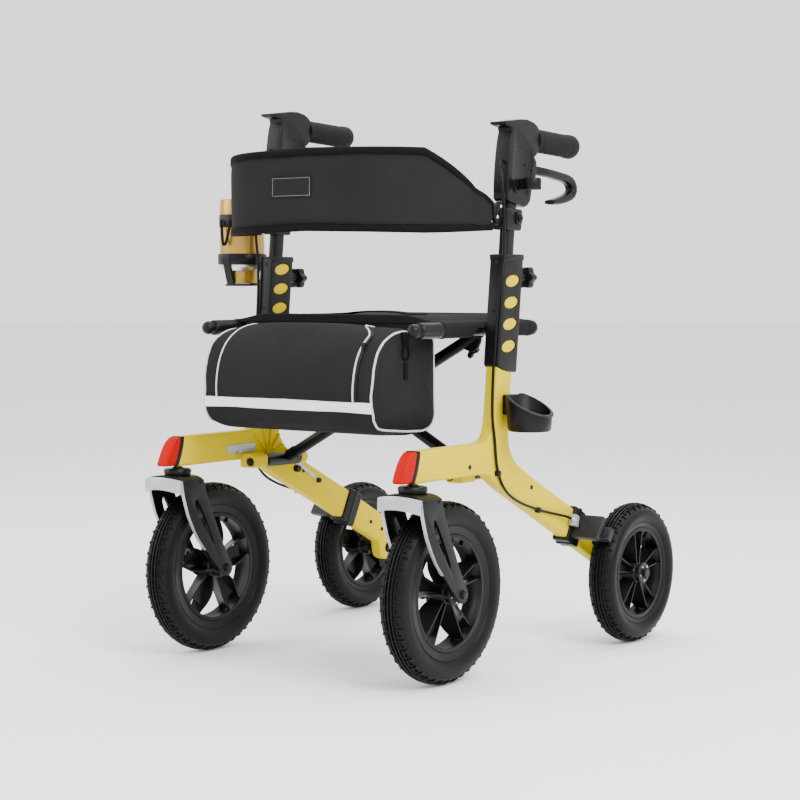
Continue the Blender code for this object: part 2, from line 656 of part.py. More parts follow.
    def seat_rail(self):
        """Seat rail with a rear cap, and its front ball end."""
        at = (self.x(RAIL_X), BRACE_Y[-self.side], RAIL_Z)
        profile = [(-0.2283, 0), (-0.2283, RAIL_R), (0.0505, RAIL_R), (0.0505, 0.0135), (0.060, 0.0135)]
        profile += [(0.062, 0.0115), (0.062, 0)]
        rail = turned(profile, (at[0], 0, RAIL_Z), (0, 1, 0), 20)
        self.build.solid(self.label("seat_rail"), rail, (BLACK, 0.4), at)
        ball = [(-0.2286, 0), (-0.2286, 0.0135), (-0.2860, 0.0135), (-0.2890, 0.0085)]
        ball += [(y, radius) for y, radius in arc((-0.298, 0), 0.012, 45, 180, 6)]
        end = turned(ball[:-1] + [(-0.310, 0)], (at[0], 0, RAIL_Z), (0, 1, 0), 20)
        self.build.solid(self.label("rail_knob"), end, (BLACK, 0.45), (at[0], -0.298, RAIL_Z))

    def seat_latch(self):
        """Sprung hook under the seat rail that meets the catch on the sleeve."""
        y = BRACE_Y[-self.side]
        outline = arc((LATCH_X, LATCH_Z), 0.0075, -20, 160, 6)
        outline += [(0.188, 0.5445), (0.186, 0.5385), (0.191, 0.5335), (0.195, 0.5365)]
        outline += [(0.198, 0.5415), (0.206, 0.5445)]
        at = (self.x(LATCH_X), y, LATCH_Z)
        shape = prism(flip(outline, self.side), y + 0.0033, y + 0.0105, "Y")
        hook = self.build.solid(self.label("seat_latch"), shape, (BLACK, 0.45), at)
        bore = rod((at[0], y, at[2]), (at[0], y + 0.02, at[2]), 0.0033, 12)
        combine(hook, self.build.helper(self.label("seat_latch_bore"), bore), "DIFFERENCE")


def cane_cup(build):
    """Half cup with a slanted rim on the left upright."""
    centre = (0.318, -0.090, 0.0)
    profile = [(0.413, 0), (0.413, 0.0355), (0.416, 0.0375), (0.476, 0.0405), (0.476, 0)]
    cup = build.solid("left_cane_cup", turned(profile, centre, (0, 0, 1), 24), (BLACK, 0.45))
    plate = box((0.2712, -0.104, 0.440), (0.2825, -0.076, 0.4745))
    combine(cup, build.helper("left_cane_cup_plate", plate), "UNION")
    inside = turned([(0.4165, 0), (0.4165, 0.0345), (0.490, 0.0383), (0.490, 0)], centre, (0, 0, 1), 24)
    combine(cup, build.helper("left_cane_cup_inside", inside), "DIFFERENCE")
    wedge = [(0.285, 0.4745), (0.365, 0.436), (0.40, 0.436), (0.40, 0.52), (0.285, 0.52)]
    slant = prism(wedge, -0.2, 0.0, "Y")
    combine(cup, build.helper("left_cane_cup_slant", slant), "DIFFERENCE")


def cane_clip(build):
    """Open clip on the left hood that holds a cane upright."""
    centre = (0.2975, -0.050)
    outline = arc(centre, 0.0165, 60, 350, 18) + arc(centre, 0.0130, 350, 60, 18)
    clip = build.solid("left_cane_clip", prism(outline, 0.8255, 0.8455, "Z"), (BLACK, 0.45))
    base = box((0.2733, -0.057, 0.8265), (0.2840, -0.043, 0.8445))
    combine(clip, build.helper("left_cane_clip_base", base), "UNION")
    inside = rod((centre[0], centre[1], 0.81), (centre[0], centre[1], 0.86), 0.0130, 24)
    combine(clip, build.helper("left_cane_clip_inside", inside), "DIFFERENCE")


FLASK_X = -0.357
FLASK_Y = -0.055


def drink_holder(build):
    """Ring on the right sleeve with two straps down to a small base."""
    centre = (FLASK_X, FLASK_Y, 0.0)
    ring = [(0.701, 0.0432), (0.701, 0.0465), (0.721, 0.0465), (0.721, 0.0432)]
    holder = build.solid("right_drink_holder", turned(ring, centre, (0, 0, 1), 28), (BLACK, 0.5))
    arm = box((-0.3125, -0.075, 0.7015), (-0.2735, -0.035, 0.7145))
    combine(holder, build.helper("right_drink_holder_arm", arm), "UNION")
    clamp = box((-0.2775, -0.099, 0.688), (-0.2735, -0.035, 0.7145))
    combine(holder, build.helper("right_drink_holder_clamp", clamp), "UNION")
    base = rod((FLASK_X, FLASK_Y, 0.6600), (FLASK_X, FLASK_Y, 0.6640), 0.0330, 24)
    combine(holder, build.helper("right_drink_holder_base", base), "UNION")
    for number, side in enumerate((-1, 1)):
        outline = [(side * 0.031, 0.660), (side * 0.0345, 0.660), (side * 0.0465, 0.702)]
        outline += [(side * 0.0465, 0.716), (side * 0.0435, 0.716), (side * 0.0435, 0.703)]
        strap = prism([(FLASK_Y + y, z) for y, z in outline], FLASK_X - 0.008, FLASK_X + 0.008)
        combine(holder, build.helper(f"right_drink_holder_strap_{number}", strap), "UNION")


def drink_flask(build):
    """Flask that lifts out of the holder."""
    profile = [(0.6645, 0), (0.6645, 0.0295), (0.689, 0.031), (0.6905, 0.0385), (0.7015, 0.0425)]
    profile += [(0.7720, 0.0425), (0.7720, 0.0440), (0.7950, 0.0440), (0.7950, 0.0425), (0.8210, 0.0425)]
    profile += [(0.8250, 0.0390), (0.8250, 0)]
    flask = turned(profile, (FLASK_X, FLASK_Y, 0), (0, 0, 1), 24)
    build.solid("right_drink_flask", flask, (GOLD, 0.25, 1.0), (FLASK_X, FLASK_Y, 0.6645))


def cross_bolt(build):
    """Bolt at the middle of the brace."""
    profile = [(-0.1330, 0), (-0.1330, 0.008), (-0.1290, 0.010), (-0.1275, 0.010), (-0.1275, CROSS_R)]
    profile += [(-0.0785, CROSS_R), (-0.0785, 0.010), (-0.0770, 0.010), (-0.0730, 0.008), (-0.0730, 0)]
    bolt = turned(profile, (0, 0, CROSS_Z), (0, 1, 0), 16)
    build.solid("cross_pivot_bolt", bolt, (SILVER, 0.3, 1.0), (0, -0.103, CROSS_Z))


def seat_sling(build):
    """Fabric seat wrapped round both rails, open below where the brace meets them."""
    top = RAIL_Z + WRAP_R
    outline = arc((RAIL_X, RAIL_Z), WRAP_R, 90, -235, 12)
    under = [(0.120, top - 0.003), (-0.120, top - 0.003)]
    left = [(-x, z) for x, z in reversed(outline)]
    crown = [(-0.165, top + 0.011), (0.165, top + 0.011)]
    shape = prism(outline + under + left + crown, -0.2280, 0.0500, "Y")
    sling = build.solid("seat_sling", shape, (FABRIC, 0.8))
    for name, side in (("left", 1), ("right", -1)):
        bore = rod((side * RAIL_X, -0.25, RAIL_Z), (side * RAIL_X, 0.08, RAIL_Z), RAIL_R + GAP, 20)
        combine(sling, build.helper(f"seat_sling_{name}_bore", bore), "DIFFERENCE")
        notch = box((side * 0.226 - 0.030, -0.136, 0.560), (side * 0.226 + 0.030, -0.070, RAIL_Z + 0.002))
        combine(sling, build.helper(f"seat_sling_{name}_notch", notch), "DIFFERENCE")


def storage_bag(build):
    """Bag that hangs in front of the seat."""
    outline = [
        (-0.177, 0.573), (-0.222, 0.583), (-0.267, 0.591), (-0.298, 0.586), (-0.321, 0.576), (-0.338, 0.564),
        (-0.349, 0.549), (-0.359, 0.519), (-0.364, 0.480), (-0.361, 0.446), (-0.353, 0.430), (-0.339, 0.420),
        (-0.289, 0.412), (-0.224, 0.409), (-0.196, 0.413), (-0.180, 0.424), (-0.174, 0.445), (-0.174, 0.526),
    ]
    bag = build.solid("storage_bag", prism(outline, -0.190, 0.190), (FABRIC, 0.85))
    bevel(bag, 0.004, 1, 60)


def backrest_band(build):
    """Padded band that runs forwards from both collars and across the front."""
    half = 0.005
    corner = 0.150
    front_x = 0.246
    front_y = -0.300
    run = [(FRAME_X, -0.1176), (FRAME_X, -0.124), (0.2535, -0.137)]
    run += arc((front_x - corner, front_y + corner), corner, 0, -90, 10)
    run += [(0.0, front_y - 0.004)]
    path = run + [(-x, y) for x, y in reversed(run[:-1])]
    shape = bmesh.new()
    rings = []
    for index, point in enumerate(path):
        before = Vector(path[max(index - 1, 0)])
        after = Vector(path[min(index + 1, len(path) - 1)])
        along = (after - before).normalized()
        side = Vector((-along.y, along.x)) * half
        reach = min((-0.1176 - point[1]) / 0.130, 1.0)
        low = 0.757 - 0.007 * reach
        high = 0.803 + 0.084 * reach
        rise = 0.006 * reach * (1 - point[0] / front_x)
        ring = []
        for offset, height in ((side, low), (side, high), (-side, high), (-side, low)):
            place = Vector(point) + offset
            ring.append(shape.verts.new((place.x, place.y, height + rise)))
        rings.append(ring)
    for first, second in zip(rings, rings[1:]):
        for corner_index in range(4):
            after = (corner_index + 1) % 4
            shape.faces.new((first[corner_index], first[after], second[after], second[corner_index]))
    shape.faces.new(rings[0])
    shape.faces.new(rings[-1])
    build.solid("backrest_band", shape, (FABRIC, 0.85))


def main():
    clear_scene()
    build = Builder()
    for name, side, lift in (("left", 1, 0.0), ("right", -1, RIGHT_LIFT)):
        half = Side(build, name, side, lift)
        half.side_frame()
        half.sleeve()
        half.height_knob()
        half.handle_tube()
        half.backrest_collar()
        half.handle_housing()
        half.hand_grip()
        half.brake_lever()
        half.brake_cable()
        half.reflector()
        half.caster()
        half.wheel("front", (half.x(FRAME_X), -HALF_WHEELBASE, FRONT_RADIUS), FRONT_RADIUS,
                   0.112, 0.0915, 0.0053, 0.033)
        half.wheel("rear", (half.x(REAR_WHEEL_X), HALF_WHEELBASE, REAR_RADIUS), REAR_RADIUS,
                   0.093, 0.078, 0.0063, 0.030)
        half.rear_axle()
        half.brake_housing()
        half.brake_shoe()
        half.brace()
        half.hinge_pin()
        half.seat_rail()
        half.seat_latch()
    cane_cup(build)
    cane_clip(build)
    drink_holder(build)
    drink_flask(build)
    cross_bolt(build)
    seat_sling(build)
    storage_bag(build)
    backrest_band(build)


main()
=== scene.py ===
"""Looks of a folding rollator walker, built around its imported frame.

Every class is one sub-assembly: its fields are sizes in metres and its methods model and dress it.
The walker faces -Y, its left side is at +X, and all places are measured from the middle of the wheelbase.
"""
import logging
import math
from dataclasses import dataclass
from enum import Enum
from typing import Any, Iterable, Sequence

import bpy
from mathutils import Matrix, Vector


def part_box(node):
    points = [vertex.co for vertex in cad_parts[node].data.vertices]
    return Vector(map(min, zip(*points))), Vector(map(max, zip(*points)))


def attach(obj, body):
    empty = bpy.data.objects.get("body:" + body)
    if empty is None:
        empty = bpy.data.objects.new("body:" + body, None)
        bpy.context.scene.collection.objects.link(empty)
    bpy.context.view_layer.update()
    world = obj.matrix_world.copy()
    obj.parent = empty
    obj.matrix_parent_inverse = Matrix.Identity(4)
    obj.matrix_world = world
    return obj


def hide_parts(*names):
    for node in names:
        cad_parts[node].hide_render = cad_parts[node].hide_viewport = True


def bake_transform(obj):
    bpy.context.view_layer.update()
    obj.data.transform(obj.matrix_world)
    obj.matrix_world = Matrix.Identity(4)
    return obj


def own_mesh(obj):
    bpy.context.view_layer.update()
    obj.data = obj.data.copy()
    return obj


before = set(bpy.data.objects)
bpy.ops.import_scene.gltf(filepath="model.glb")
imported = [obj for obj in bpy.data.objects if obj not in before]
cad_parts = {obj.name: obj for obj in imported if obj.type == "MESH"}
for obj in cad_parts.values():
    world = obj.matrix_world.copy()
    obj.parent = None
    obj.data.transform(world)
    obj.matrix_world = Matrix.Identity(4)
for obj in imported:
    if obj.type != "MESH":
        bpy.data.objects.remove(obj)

LOG = logging.getLogger("rollator")
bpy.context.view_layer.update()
Point = tuple[float, float, float]
Flat = tuple[float, float]


def middle_of(node: str) -> Vector:
    """Centre of a CAD node's box."""
    low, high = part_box(node)
    return (Vector(low) + Vector(high)) / 2


FRONT_HUB = middle_of("left_front_tyre")
REAR_HUB = middle_of("left_rear_tyre")
ORIGIN = Vector((middle_of("cross_pivot_bolt").x, (FRONT_HUB.y + REAR_HUB.y) / 2, 0.0))
FRONT_R = FRONT_HUB.z
REAR_R = REAR_HUB.z
AXLE_Y = REAR_HUB.y - ORIGIN.y
FRAME_X = FRONT_HUB.x - ORIGIN.x
REAR_X = REAR_HUB.x - ORIGIN.x
TYRE_HALF = (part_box("left_front_tyre")[1][0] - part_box("left_front_tyre")[0][0]) / 2
RIGHT_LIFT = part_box("right_hand_grip")[1][2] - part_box("left_hand_grip")[1][2]

LEAN = 0.105
UPRIGHT_Y = -0.1015
UPRIGHT_Z = 0.449
UPRIGHT_HALF = 0.0235
FRAME_HALF = 0.0125
RAIL_X = 0.226
RAIL_Z = 0.586
PIVOT_X = 0.222
PIVOT_Z = 0.338
CASTER_Y = -0.347


def upright_y(height: float) -> float:
    """Middle line of the leaning upright at a height."""
    return UPRIGHT_Y + LEAN * (height - UPRIGHT_Z)


class Side(Enum):
    """Which side frame a piece belongs to."""

    LEFT = 1
    RIGHT = -1

    @property
    def label(self) -> str:
        """Lower-case name used in node names."""
        return self.name.lower()

    @property
    def lift(self) -> float:
        """How much higher this side's handle is set."""
        return 0.0 if self is Side.LEFT else RIGHT_LIFT


# ---------------------------------------------------------------- shader expressions


class Wire:
    """One shader socket, with arithmetic."""

    def __init__(self, paint: "Paint", socket: Any) -> None:
        """Keep the socket and the material it is in."""
        self.paint = paint
        self.socket = socket

    def _math(self, operation: str, first: Any, second: Any) -> "Wire":
        """Add one Math node.

        Args:
            operation: the node's operation.
            first: left value or wire.
            second: right value or wire.

        Returns:
            The node's output.
        """
        return self.paint.node("ShaderNodeMath", {"operation": operation}, {0: first, 1: second})

    def __add__(self, other: Any) -> "Wire":
        """Sum."""
        return self._math("ADD", self, other)

    __radd__ = __add__

    def __sub__(self, other: Any) -> "Wire":
        """Difference."""
        return self._math("SUBTRACT", self, other)

    def __rsub__(self, other: Any) -> "Wire":
        """Difference from a number."""
        return self._math("SUBTRACT", other, self)

    def __mul__(self, other: Any) -> "Wire":
        """Product."""
        return self._math("MULTIPLY", self, other)

    __rmul__ = __mul__

    def sine(self) -> "Wire":
        """Sine of the value."""
        return self._math("SINE", self, 0.0)

    def ramp(self, low: float, high: float) -> "Wire":
        """Zero at one value, one at another, held between."""
        node_inputs = {"Value": self, "From Min": low, "From Max": high}
        return self.paint.node("ShaderNodeMapRange", {}, node_inputs)


class Paint:
    """A material under construction."""

    def __init__(self, name: str) -> None:
        """Start a Principled material."""
        self.material = bpy.data.materials.new(name)
        self.material.use_nodes = True
        self.tree = self.material.node_tree
        self.shader = self.tree.nodes["Principled BSDF"]
        self._place: Wire | None = None

    def node(self, kind: str, settings: dict[str, Any], inputs: dict[Any, Any], output: Any = 0) -> Wire:
        """Add any node.

        Args:
            kind: the node's type.
            settings: attributes to set first; "stops" fills a colour ramp.
            inputs: values or wires by socket name or number.
            output: name or number of the output to use.

        Returns:
            That output.
        """
        made = self.tree.nodes.new(kind)
        for key, value in settings.items():
            if key == "stops":
                ramp = made.color_ramp
                while len(ramp.elements) < len(value):
                    ramp.elements.new(0.5)
                for element, (place, colour) in zip(ramp.elements, value):
                    element.position = place
                    element.color = (*colour, 1.0)
            else:
                setattr(made, key, value)
        for key, value in inputs.items():
            if isinstance(value, Wire):
                self.tree.links.new(value.socket, made.inputs[key])
            elif isinstance(value, tuple) and len(value) == 3 and made.inputs[key].type == "RGBA":
                made.inputs[key].default_value = (*value, 1.0)
            else:
                made.inputs[key].default_value = value
        return Wire(self, made.outputs[output])

    @property
    def place(self) -> Wire:
        """Object coordinates."""
        if self._place is None:
            self._place = self.node("ShaderNodeTexCoord", {}, {}, "Object")
        return self._place

    def axes(self) -> tuple[Wire, Wire, Wire]:
        """The three object coordinates as numbers."""
        split = self.node("ShaderNodeSeparateXYZ", {}, {0: self.place})
        owner = split.socket.node
        return tuple(Wire(self, socket) for socket in owner.outputs)

    def noise(self, scale: float, detail: float = 3.0, rough: float = 0.5) -> Wire:
        """Fractal noise on object coordinates."""
        inputs = {"Vector": self.place, "Scale": scale, "Detail": detail, "Roughness": rough}
        return self.node("ShaderNodeTexNoise", {}, inputs, 0)

    def mix(self, share: Any, first: Any, second: Any) -> Wire:
        """Blend two colours.

        Args:
            share: how much of the second.
            first: first colour.
            second: second colour.

        Returns:
            The blended colour.
        """
        settings = {"data_type": "RGBA"}
        return self.node("ShaderNodeMix", settings, {0: share, 6: first, 7: second}, 2)

    def bump(self, height: Wire, strength: float, distance: float) -> None:
        """Feed a height to the shader's normal."""
        inputs = {"Height": height, "Strength": strength, "Distance": distance}
        self.feed("Normal", self.node("ShaderNodeBump", {}, inputs))

    def feed(self, socket: str, value: Any) -> None:
        """Set or link one of the shader's sockets."""
        if isinstance(value, Wire):
            self.tree.links.new(value.socket, self.shader.inputs[socket])
        elif isinstance(value, tuple) and len(value) == 3:
            self.shader.inputs[socket].default_value = (*value, 1.0)
        else:
            self.shader.inputs[socket].default_value = value


@dataclass(frozen=True)
class Moulded:
    """Moulded or coated finish with a fine grain and worn, cloudy gloss."""

    name: str
    colour: Point
    roughness: float = 0.45
    metallic: float = 0.0
    grain: float = 900.0
    depth: float = 0.15
    variety: float = 0.25
    coat: float = 0.0
    shine: float = 0.3

    def make(self) -> Any:
        """Build the material.

        Returns:
            The material.
        """
        paint = Paint(self.name)
        cloud = paint.noise(14.0, 4.0)
        speck = paint.noise(self.grain, 2.0)
        darker = tuple(channel * (1 - self.variety) for channel in self.colour)
        lighter = tuple(min(channel * (1 + self.variety * 0.6), 1.0) for channel in self.colour)
        share = (cloud * 0.7 + speck * 0.3).ramp(0.3, 0.7)
        paint.feed("Base Color", paint.mix(share, darker, lighter))
        rough = cloud.ramp(0.25, 0.75) * 0.14 + (self.roughness - 0.07)
        paint.feed("Roughness", rough)
        paint.feed("Metallic", self.metallic)
        paint.feed("Coat Weight", self.coat)
        paint.feed("Coat Roughness", 0.12)
        paint.feed("Specular IOR Level", self.shine)
        paint.bump(speck, self.depth, 0.0004)
        return paint.material


@dataclass(frozen=True)
class Woven:
    """Coarse polyester cloth: crossed threads, mottled yarn and a little sheen."""

    name: str
    colour: Point
    thread: float = 0.0011
    depth: float = 0.5

    def make(self) -> Any:
        """Build the material.

        Returns:
            The material.
        """
        paint = Paint(self.name)
        x, y, z = paint.axes()
        pitch = math.tau / self.thread
        warp = ((x + y * 0.7) * pitch).sine()
        weft = ((z + y * 0.7) * pitch).sine()
        weave = (warp * weft) * 0.5 + 0.5
        yarn = paint.noise(700.0, 2.0)
        cloud = paint.noise(9.0, 3.0)
        share = (weave * 0.35 + yarn * 0.4 + cloud * 0.25).ramp(0.25, 0.75)
        dark = tuple(channel * 0.55 for channel in self.colour)
        light = tuple(channel * 1.5 for channel in self.colour)
        paint.feed("Base Color", paint.mix(share, dark, light))
        paint.feed("Roughness", yarn.ramp(0.2, 0.8) * 0.15 + 0.72)
        paint.feed("Specular IOR Level", 0.06)
        paint.bump(weave * 0.6 + yarn * 0.4, self.depth, 0.0005)
        return paint.material


@dataclass(frozen=True)
class Rubber:
    """Tyre rubber: dusty matt black with a fine speckled grain."""

    name: str
    colour: Point = (0.0020, 0.0020, 0.0022)

    def make(self) -> Any:
        """Build the material.

        Returns:
            The material.
        """
        paint = Paint(self.name)
        cloud = paint.noise(22.0, 5.0, 0.6)
        speck = paint.noise(600.0, 2.0)
        dust = tuple(channel * 1.6 + 0.0006 for channel in self.colour)
        paint.feed("Base Color", paint.mix(cloud.ramp(0.35, 0.75), self.colour, dust))
        paint.feed("Roughness", cloud.ramp(0.3, 0.7) * 0.14 + 0.40)
        paint.feed("Specular IOR Level", 0.14)
        paint.bump(speck, 0.12, 0.0003)
        return paint.material


@dataclass(frozen=True)
class Lens:
    """Red reflector lens with a grid of small prisms behind a clear face."""

    name: str = "reflector_lens"
    cell: float = 0.0035

    def make(self) -> Any:
        """Build the material.

        Returns:
            The material.
        """
        paint = Paint(self.name)
        x, y, z = paint.axes()
        pitch = math.tau / self.cell
        prisms = ((y + z) * pitch).sine() * ((y - z) * pitch).sine() * (x * pitch).sine() * 0.5 + 0.5
        paint.feed("Base Color", paint.mix(prisms, (0.30, 0.0, 0.0), (0.46, 0.001, 0.0005)))
        paint.feed("Roughness", prisms * 0.15 + 0.22)
        paint.feed("Specular IOR Level", 0.04)
        paint.bump(prisms, 0.25, 0.0005)
        return paint.material


class Finishes:
    """All finishes of the walker, each made once."""

    def __init__(self) -> None:
        """Make the materials."""
        self.yellow = Moulded(
            "yellow_enamel", (0.62, 0.47, 0.0), 0.34, grain=500, depth=0.03, variety=0.02, shine=0.04
        ).make()
        self.plastic = Moulded("black_moulding", (0.0035, 0.0035, 0.0038), 0.38, shine=0.18).make()
        self.dark_metal = Moulded("black_powder_coat", (0.0025, 0.0025, 0.0028), 0.32, grain=1400,
                                  depth=0.1, shine=0.18).make()
        self.slate = Moulded("slate_moulding", (0.014, 0.014, 0.015), 0.42, shine=0.2).make()
        self.wheel = Moulded("wheel_moulding", (0.0028, 0.0028, 0.0031), 0.36, grain=800, depth=0.1,
                             shine=0.16).make()
        self.silver = Moulded(
            "silver_moulding", (0.40, 0.41, 0.43), 0.36, 0.35, grain=700, depth=0.05, variety=0.05
        ).make()
        self.steel = Moulded("bright_steel", (0.62, 0.63, 0.65), 0.28, 1.0, grain=900, depth=0.05,
                             variety=0.1).make()
        self.gold = Moulded(
            "champagne_steel", (0.42, 0.25, 0.055), 0.32, 0.9, grain=500, depth=0.05, variety=0.06
        ).make()
        self.cable = Moulded("cable_sheath", (0.0022, 0.0022, 0.0028), 0.34, shine=0.15).make()
        self.grip = Moulded("grip_foam", (0.009, 0.009, 0.0095), 0.66, grain=700, depth=0.4,
                            shine=0.12).make()
        self.tyre = Rubber("tyre_rubber").make()
        self.cloth = Woven("charcoal_weave", (0.0130, 0.0130, 0.0135)).make()
        self.seat_cloth = Woven("seat_weave", (0.0095, 0.0095, 0.0100), 0.0014).make()
        self.binding = Woven("dark_binding", (0.0045, 0.0045, 0.0048), 0.0009).make()
        self.reflective = Moulded(
            "reflective_tape", (0.80, 0.81, 0.82), 0.45, grain=1200, depth=0.1, variety=0.03
        ).make()
        self.piping = Moulded("pale_piping", (0.50, 0.50, 0.51), 0.55, grain=900, depth=0.3,
                              variety=0.08).make()
        self.lens = Lens().make()


# ---------------------------------------------------------------- modelling


class Bench:
    """Modelling steps shared by the sub-assemblies, all in walker coordinates."""

    def fresh(self) -> None:
        """Leave edit mode and deselect everything."""
        if bpy.context.object is not None and bpy.context.object.mode != "OBJECT":
            bpy.ops.object.mode_set(mode="OBJECT")
        bpy.ops.object.select_all(action="DESELECT")

    def only(self, obj: Any) -> Any:
        """Make one object the only one selected."""
        self.fresh()
        obj.select_set(True)
        bpy.context.view_layer.objects.active = obj
        return obj

    def edit(self, obj: Any) -> None:
        """Enter edit mode with everything selected."""
        self.only(obj)
        bpy.ops.object.mode_set(mode="EDIT")
        bpy.ops.mesh.select_mode(type="VERT")
        bpy.ops.mesh.select_all(action="SELECT")

    def loop(self, points: Sequence[Sequence[float]], filled: bool) -> Any:
        """A ring of vertices laid on the given points.

        Args:
            points: places of the vertices, in order.
            filled: whether the ring is closed by a face.

        Returns:
            The new object.
        """
        self.fresh()
        bpy.ops.mesh.primitive_circle_add(
            vertices=len(points), radius=0.01, fill_type="NGON" if filled else "NOTHING"
        )
        obj = bpy.context.object
        for vertex, point in zip(obj.data.vertices, points):
            vertex.co = point
        return obj

    def plate(
        self, outline: Sequence[Flat], low: float, high: float, axis: str = "X", edge: float = 0.0, steps: int = 3,
        angle: float = 40.0,
    ) -> Any:
        """Extrude a flat outline along an axis and round its edges.

        Args:
            outline: the other two coordinates, in order.
            low: start along the axis.
            high: end along the axis.
            axis: X, Y or Z.
            edge: width of the rounding.
            steps: faces across the rounding.
            angle: only edges sharper than this, in degrees, are rounded.

        Returns:
            The new object.
        """
        slot = {"X": 0, "Y": 1, "Z": 2}[axis]
        points = []
        for first, second in outline:
            place = [first, second]
            place.insert(slot, low)
            points.append(place)
        obj = self.loop(points, True)
        self.edit(obj)
        shift = [0.0, 0.0, 0.0]
        shift[slot] = high - low
        bpy.ops.mesh.extrude_region_move(TRANSFORM_OT_translate={"value": shift})
        bpy.ops.mesh.select_all(action="SELECT")
        bpy.ops.mesh.normals_make_consistent(inside=False)
        self.fresh()
        if edge:
            self.soften(obj, edge, steps, angle)
        return obj

    def soften(self, obj: Any, width: float, steps: int = 3, angle: float = 40.0) -> None:
        """Round the sharp edges with an applied Bevel."""
        change = obj.modifiers.new("rounding", "BEVEL")
        change.width = width
        change.segments = steps
        change.limit_method = "ANGLE"
        change.angle_limit = math.radians(angle)
        change.harden_normals = False
        self.apply(obj, change.name)

    def apply(self, obj: Any, name: str) -> None:
        """Apply one modifier."""
        self.only(obj)
        bpy.ops.object.modifier_apply(modifier=name)

    def cut(self, obj: Any, other: Any, operation: str = "DIFFERENCE") -> Any:
        """Boolean with another object, which is used up."""
        change = obj.modifiers.new("cut", "BOOLEAN")
        change.operation = operation
        change.object = other
        self.apply(obj, change.name)
        bpy.data.objects.remove(other, do_unlink=True)
        return obj

    def turn(
        self, profile: Sequence[Flat], centre: Sequence[float], axis: Sequence[float], steps: int = 48,
        solid: bool = True,
    ) -> Any:
        """Spin a (distance along, radius) profile about an axis.

        Args:
            profile: points in order; a solid one starts and ends on the axis.
            centre: point on the axis where distance is zero.
            axis: direction of the axis.
            steps: faces round the axis.
            solid: whether the profile ends on the axis instead of closing on itself.

        Returns:
            The new object.
        """
        obj = self.loop([(radius, 0.0, along) for along, radius in profile], False)
        self.edit(obj)
        if solid:
            bpy.ops.mesh.select_all(action="DESELECT")
            bpy.ops.object.mode_set(mode="OBJECT")
            last = len(profile) - 1
            for side in obj.data.edges:
                side.select = set(side.vertices) == {0, last}
            bpy.ops.object.mode_set(mode="EDIT")
            bpy.ops.mesh.select_mode(type="EDGE")
            bpy.ops.mesh.delete(type="EDGE")
            bpy.ops.mesh.select_mode(type="VERT")
        bpy.ops.mesh.select_all(action="SELECT")
        bpy.ops.mesh.spin(steps=steps, angle=math.tau, center=(0, 0, 0), axis=(0, 0, 1))
        bpy.ops.mesh.select_all(action="SELECT")
        bpy.ops.mesh.remove_doubles(threshold=1e-5)
        bpy.ops.mesh.normals_make_consistent(inside=False)
        self.fresh()
        tilt = Vector((0, 0, 1)).rotation_difference(Vector(axis)).to_matrix().to_4x4()
        obj.data.transform(Matrix.Translation(centre) @ tilt)
        return obj

    def rod(self, start: Sequence[float], end: Sequence[float], radius: float, steps: int = 32,
            edge: float = 0.0006) -> Any:
        """A round bar with softened ends."""
        run = Vector(end) - Vector(start)
        long = run.length
        profile = [(0, 0), (0, radius - edge), (edge, radius), (long - edge, radius),
                   (long, radius - edge), (long, 0)]
        return self.turn(profile, start, run.normalized(), steps)

    def pipe(self, points: Iterable[Sequence[float]], radius: float, closed: bool = False,
             sides: int = 3) -> Any:
        """A smooth tube along a route.

        Args:
            points: places along the route.
            radius: radius of the tube.
            closed: whether the tube joins itself.
            sides: the curve's bevel resolution.

        Returns:
            The new mesh object.
        """
        self.fresh()
        curve = bpy.data.curves.new("pipe", "CURVE")
        curve.dimensions = "3D"
        curve.bevel_depth = radius
        curve.bevel_resolution = sides
        curve.use_fill_caps = True
        curve.resolution_u = 4
        places = [tuple(point) for point in points]
        line = curve.splines.new("NURBS")
        line.points.add(len(places) - 1)
        for target, place in zip(line.points, places):
            target.co = (*place, 1.0)
        line.order_u = 4
        line.use_endpoint_u = True
        line.use_cyclic_u = closed
        obj = bpy.data.objects.new("pipe", curve)
        bpy.context.scene.collection.objects.link(obj)
        self.only(obj)
        bpy.ops.object.convert(target="MESH")
        return bpy.context.object

    def block(self, low: Sequence[float], high: Sequence[float], edge: float = 0.0, steps: int = 3) -> Any:
        """A block between two corners with rounded edges."""
        outline = [(low[1], low[2]), (high[1], low[2]), (high[1], high[2]), (low[1], high[2])]
        return self.plate(outline, low[0], high[0], "X", edge, steps)

    def join(self, first: Any, *others: Any) -> Any:
        """Join objects into the first."""
        self.only(first)
        for other in others:
            other.select_set(True)
        bpy.ops.object.join()
        return first

    def around(self, obj: Any, count: int, centre: Sequence[float], axis: Sequence[float]) -> Any:
        """Copy the whole mesh evenly round an axis."""
        self.edit(obj)
        share = math.tau * (count - 1) / count
        bpy.ops.mesh.spin(steps=count - 1, dupli=True, angle=share, center=centre, axis=axis)
        self.fresh()
        return obj


BENCH = Bench()


def arc(centre: Flat, radius: float, start: float, end: float, steps: int) -> list[Flat]:
    """Points on an arc, with angles in degrees."""
    turns = [math.radians(start + (end - start) * step / steps) for step in range(steps + 1)]
    return [(centre[0] + radius * math.cos(turn), centre[1] + radius * math.sin(turn)) for turn in turns]


def strip(points: Sequence[Flat], half_widths: Sequence[float]) -> list[Flat]:
    """Outline of a band of varying half width along a bent middle line."""
    left, right = [], []
    for index, point in enumerate(points):
        before = Vector(points[max(index - 1, 0)])
        after = Vector(points[min(index + 1, len(points) - 1)])
        along = (after - before).normalized()
        side = Vector((-along.y, along.x)) * half_widths[index]
        left.append(tuple(Vector(point) + side))
        right.append(tuple(Vector(point) - side))
    return left + right[::-1]


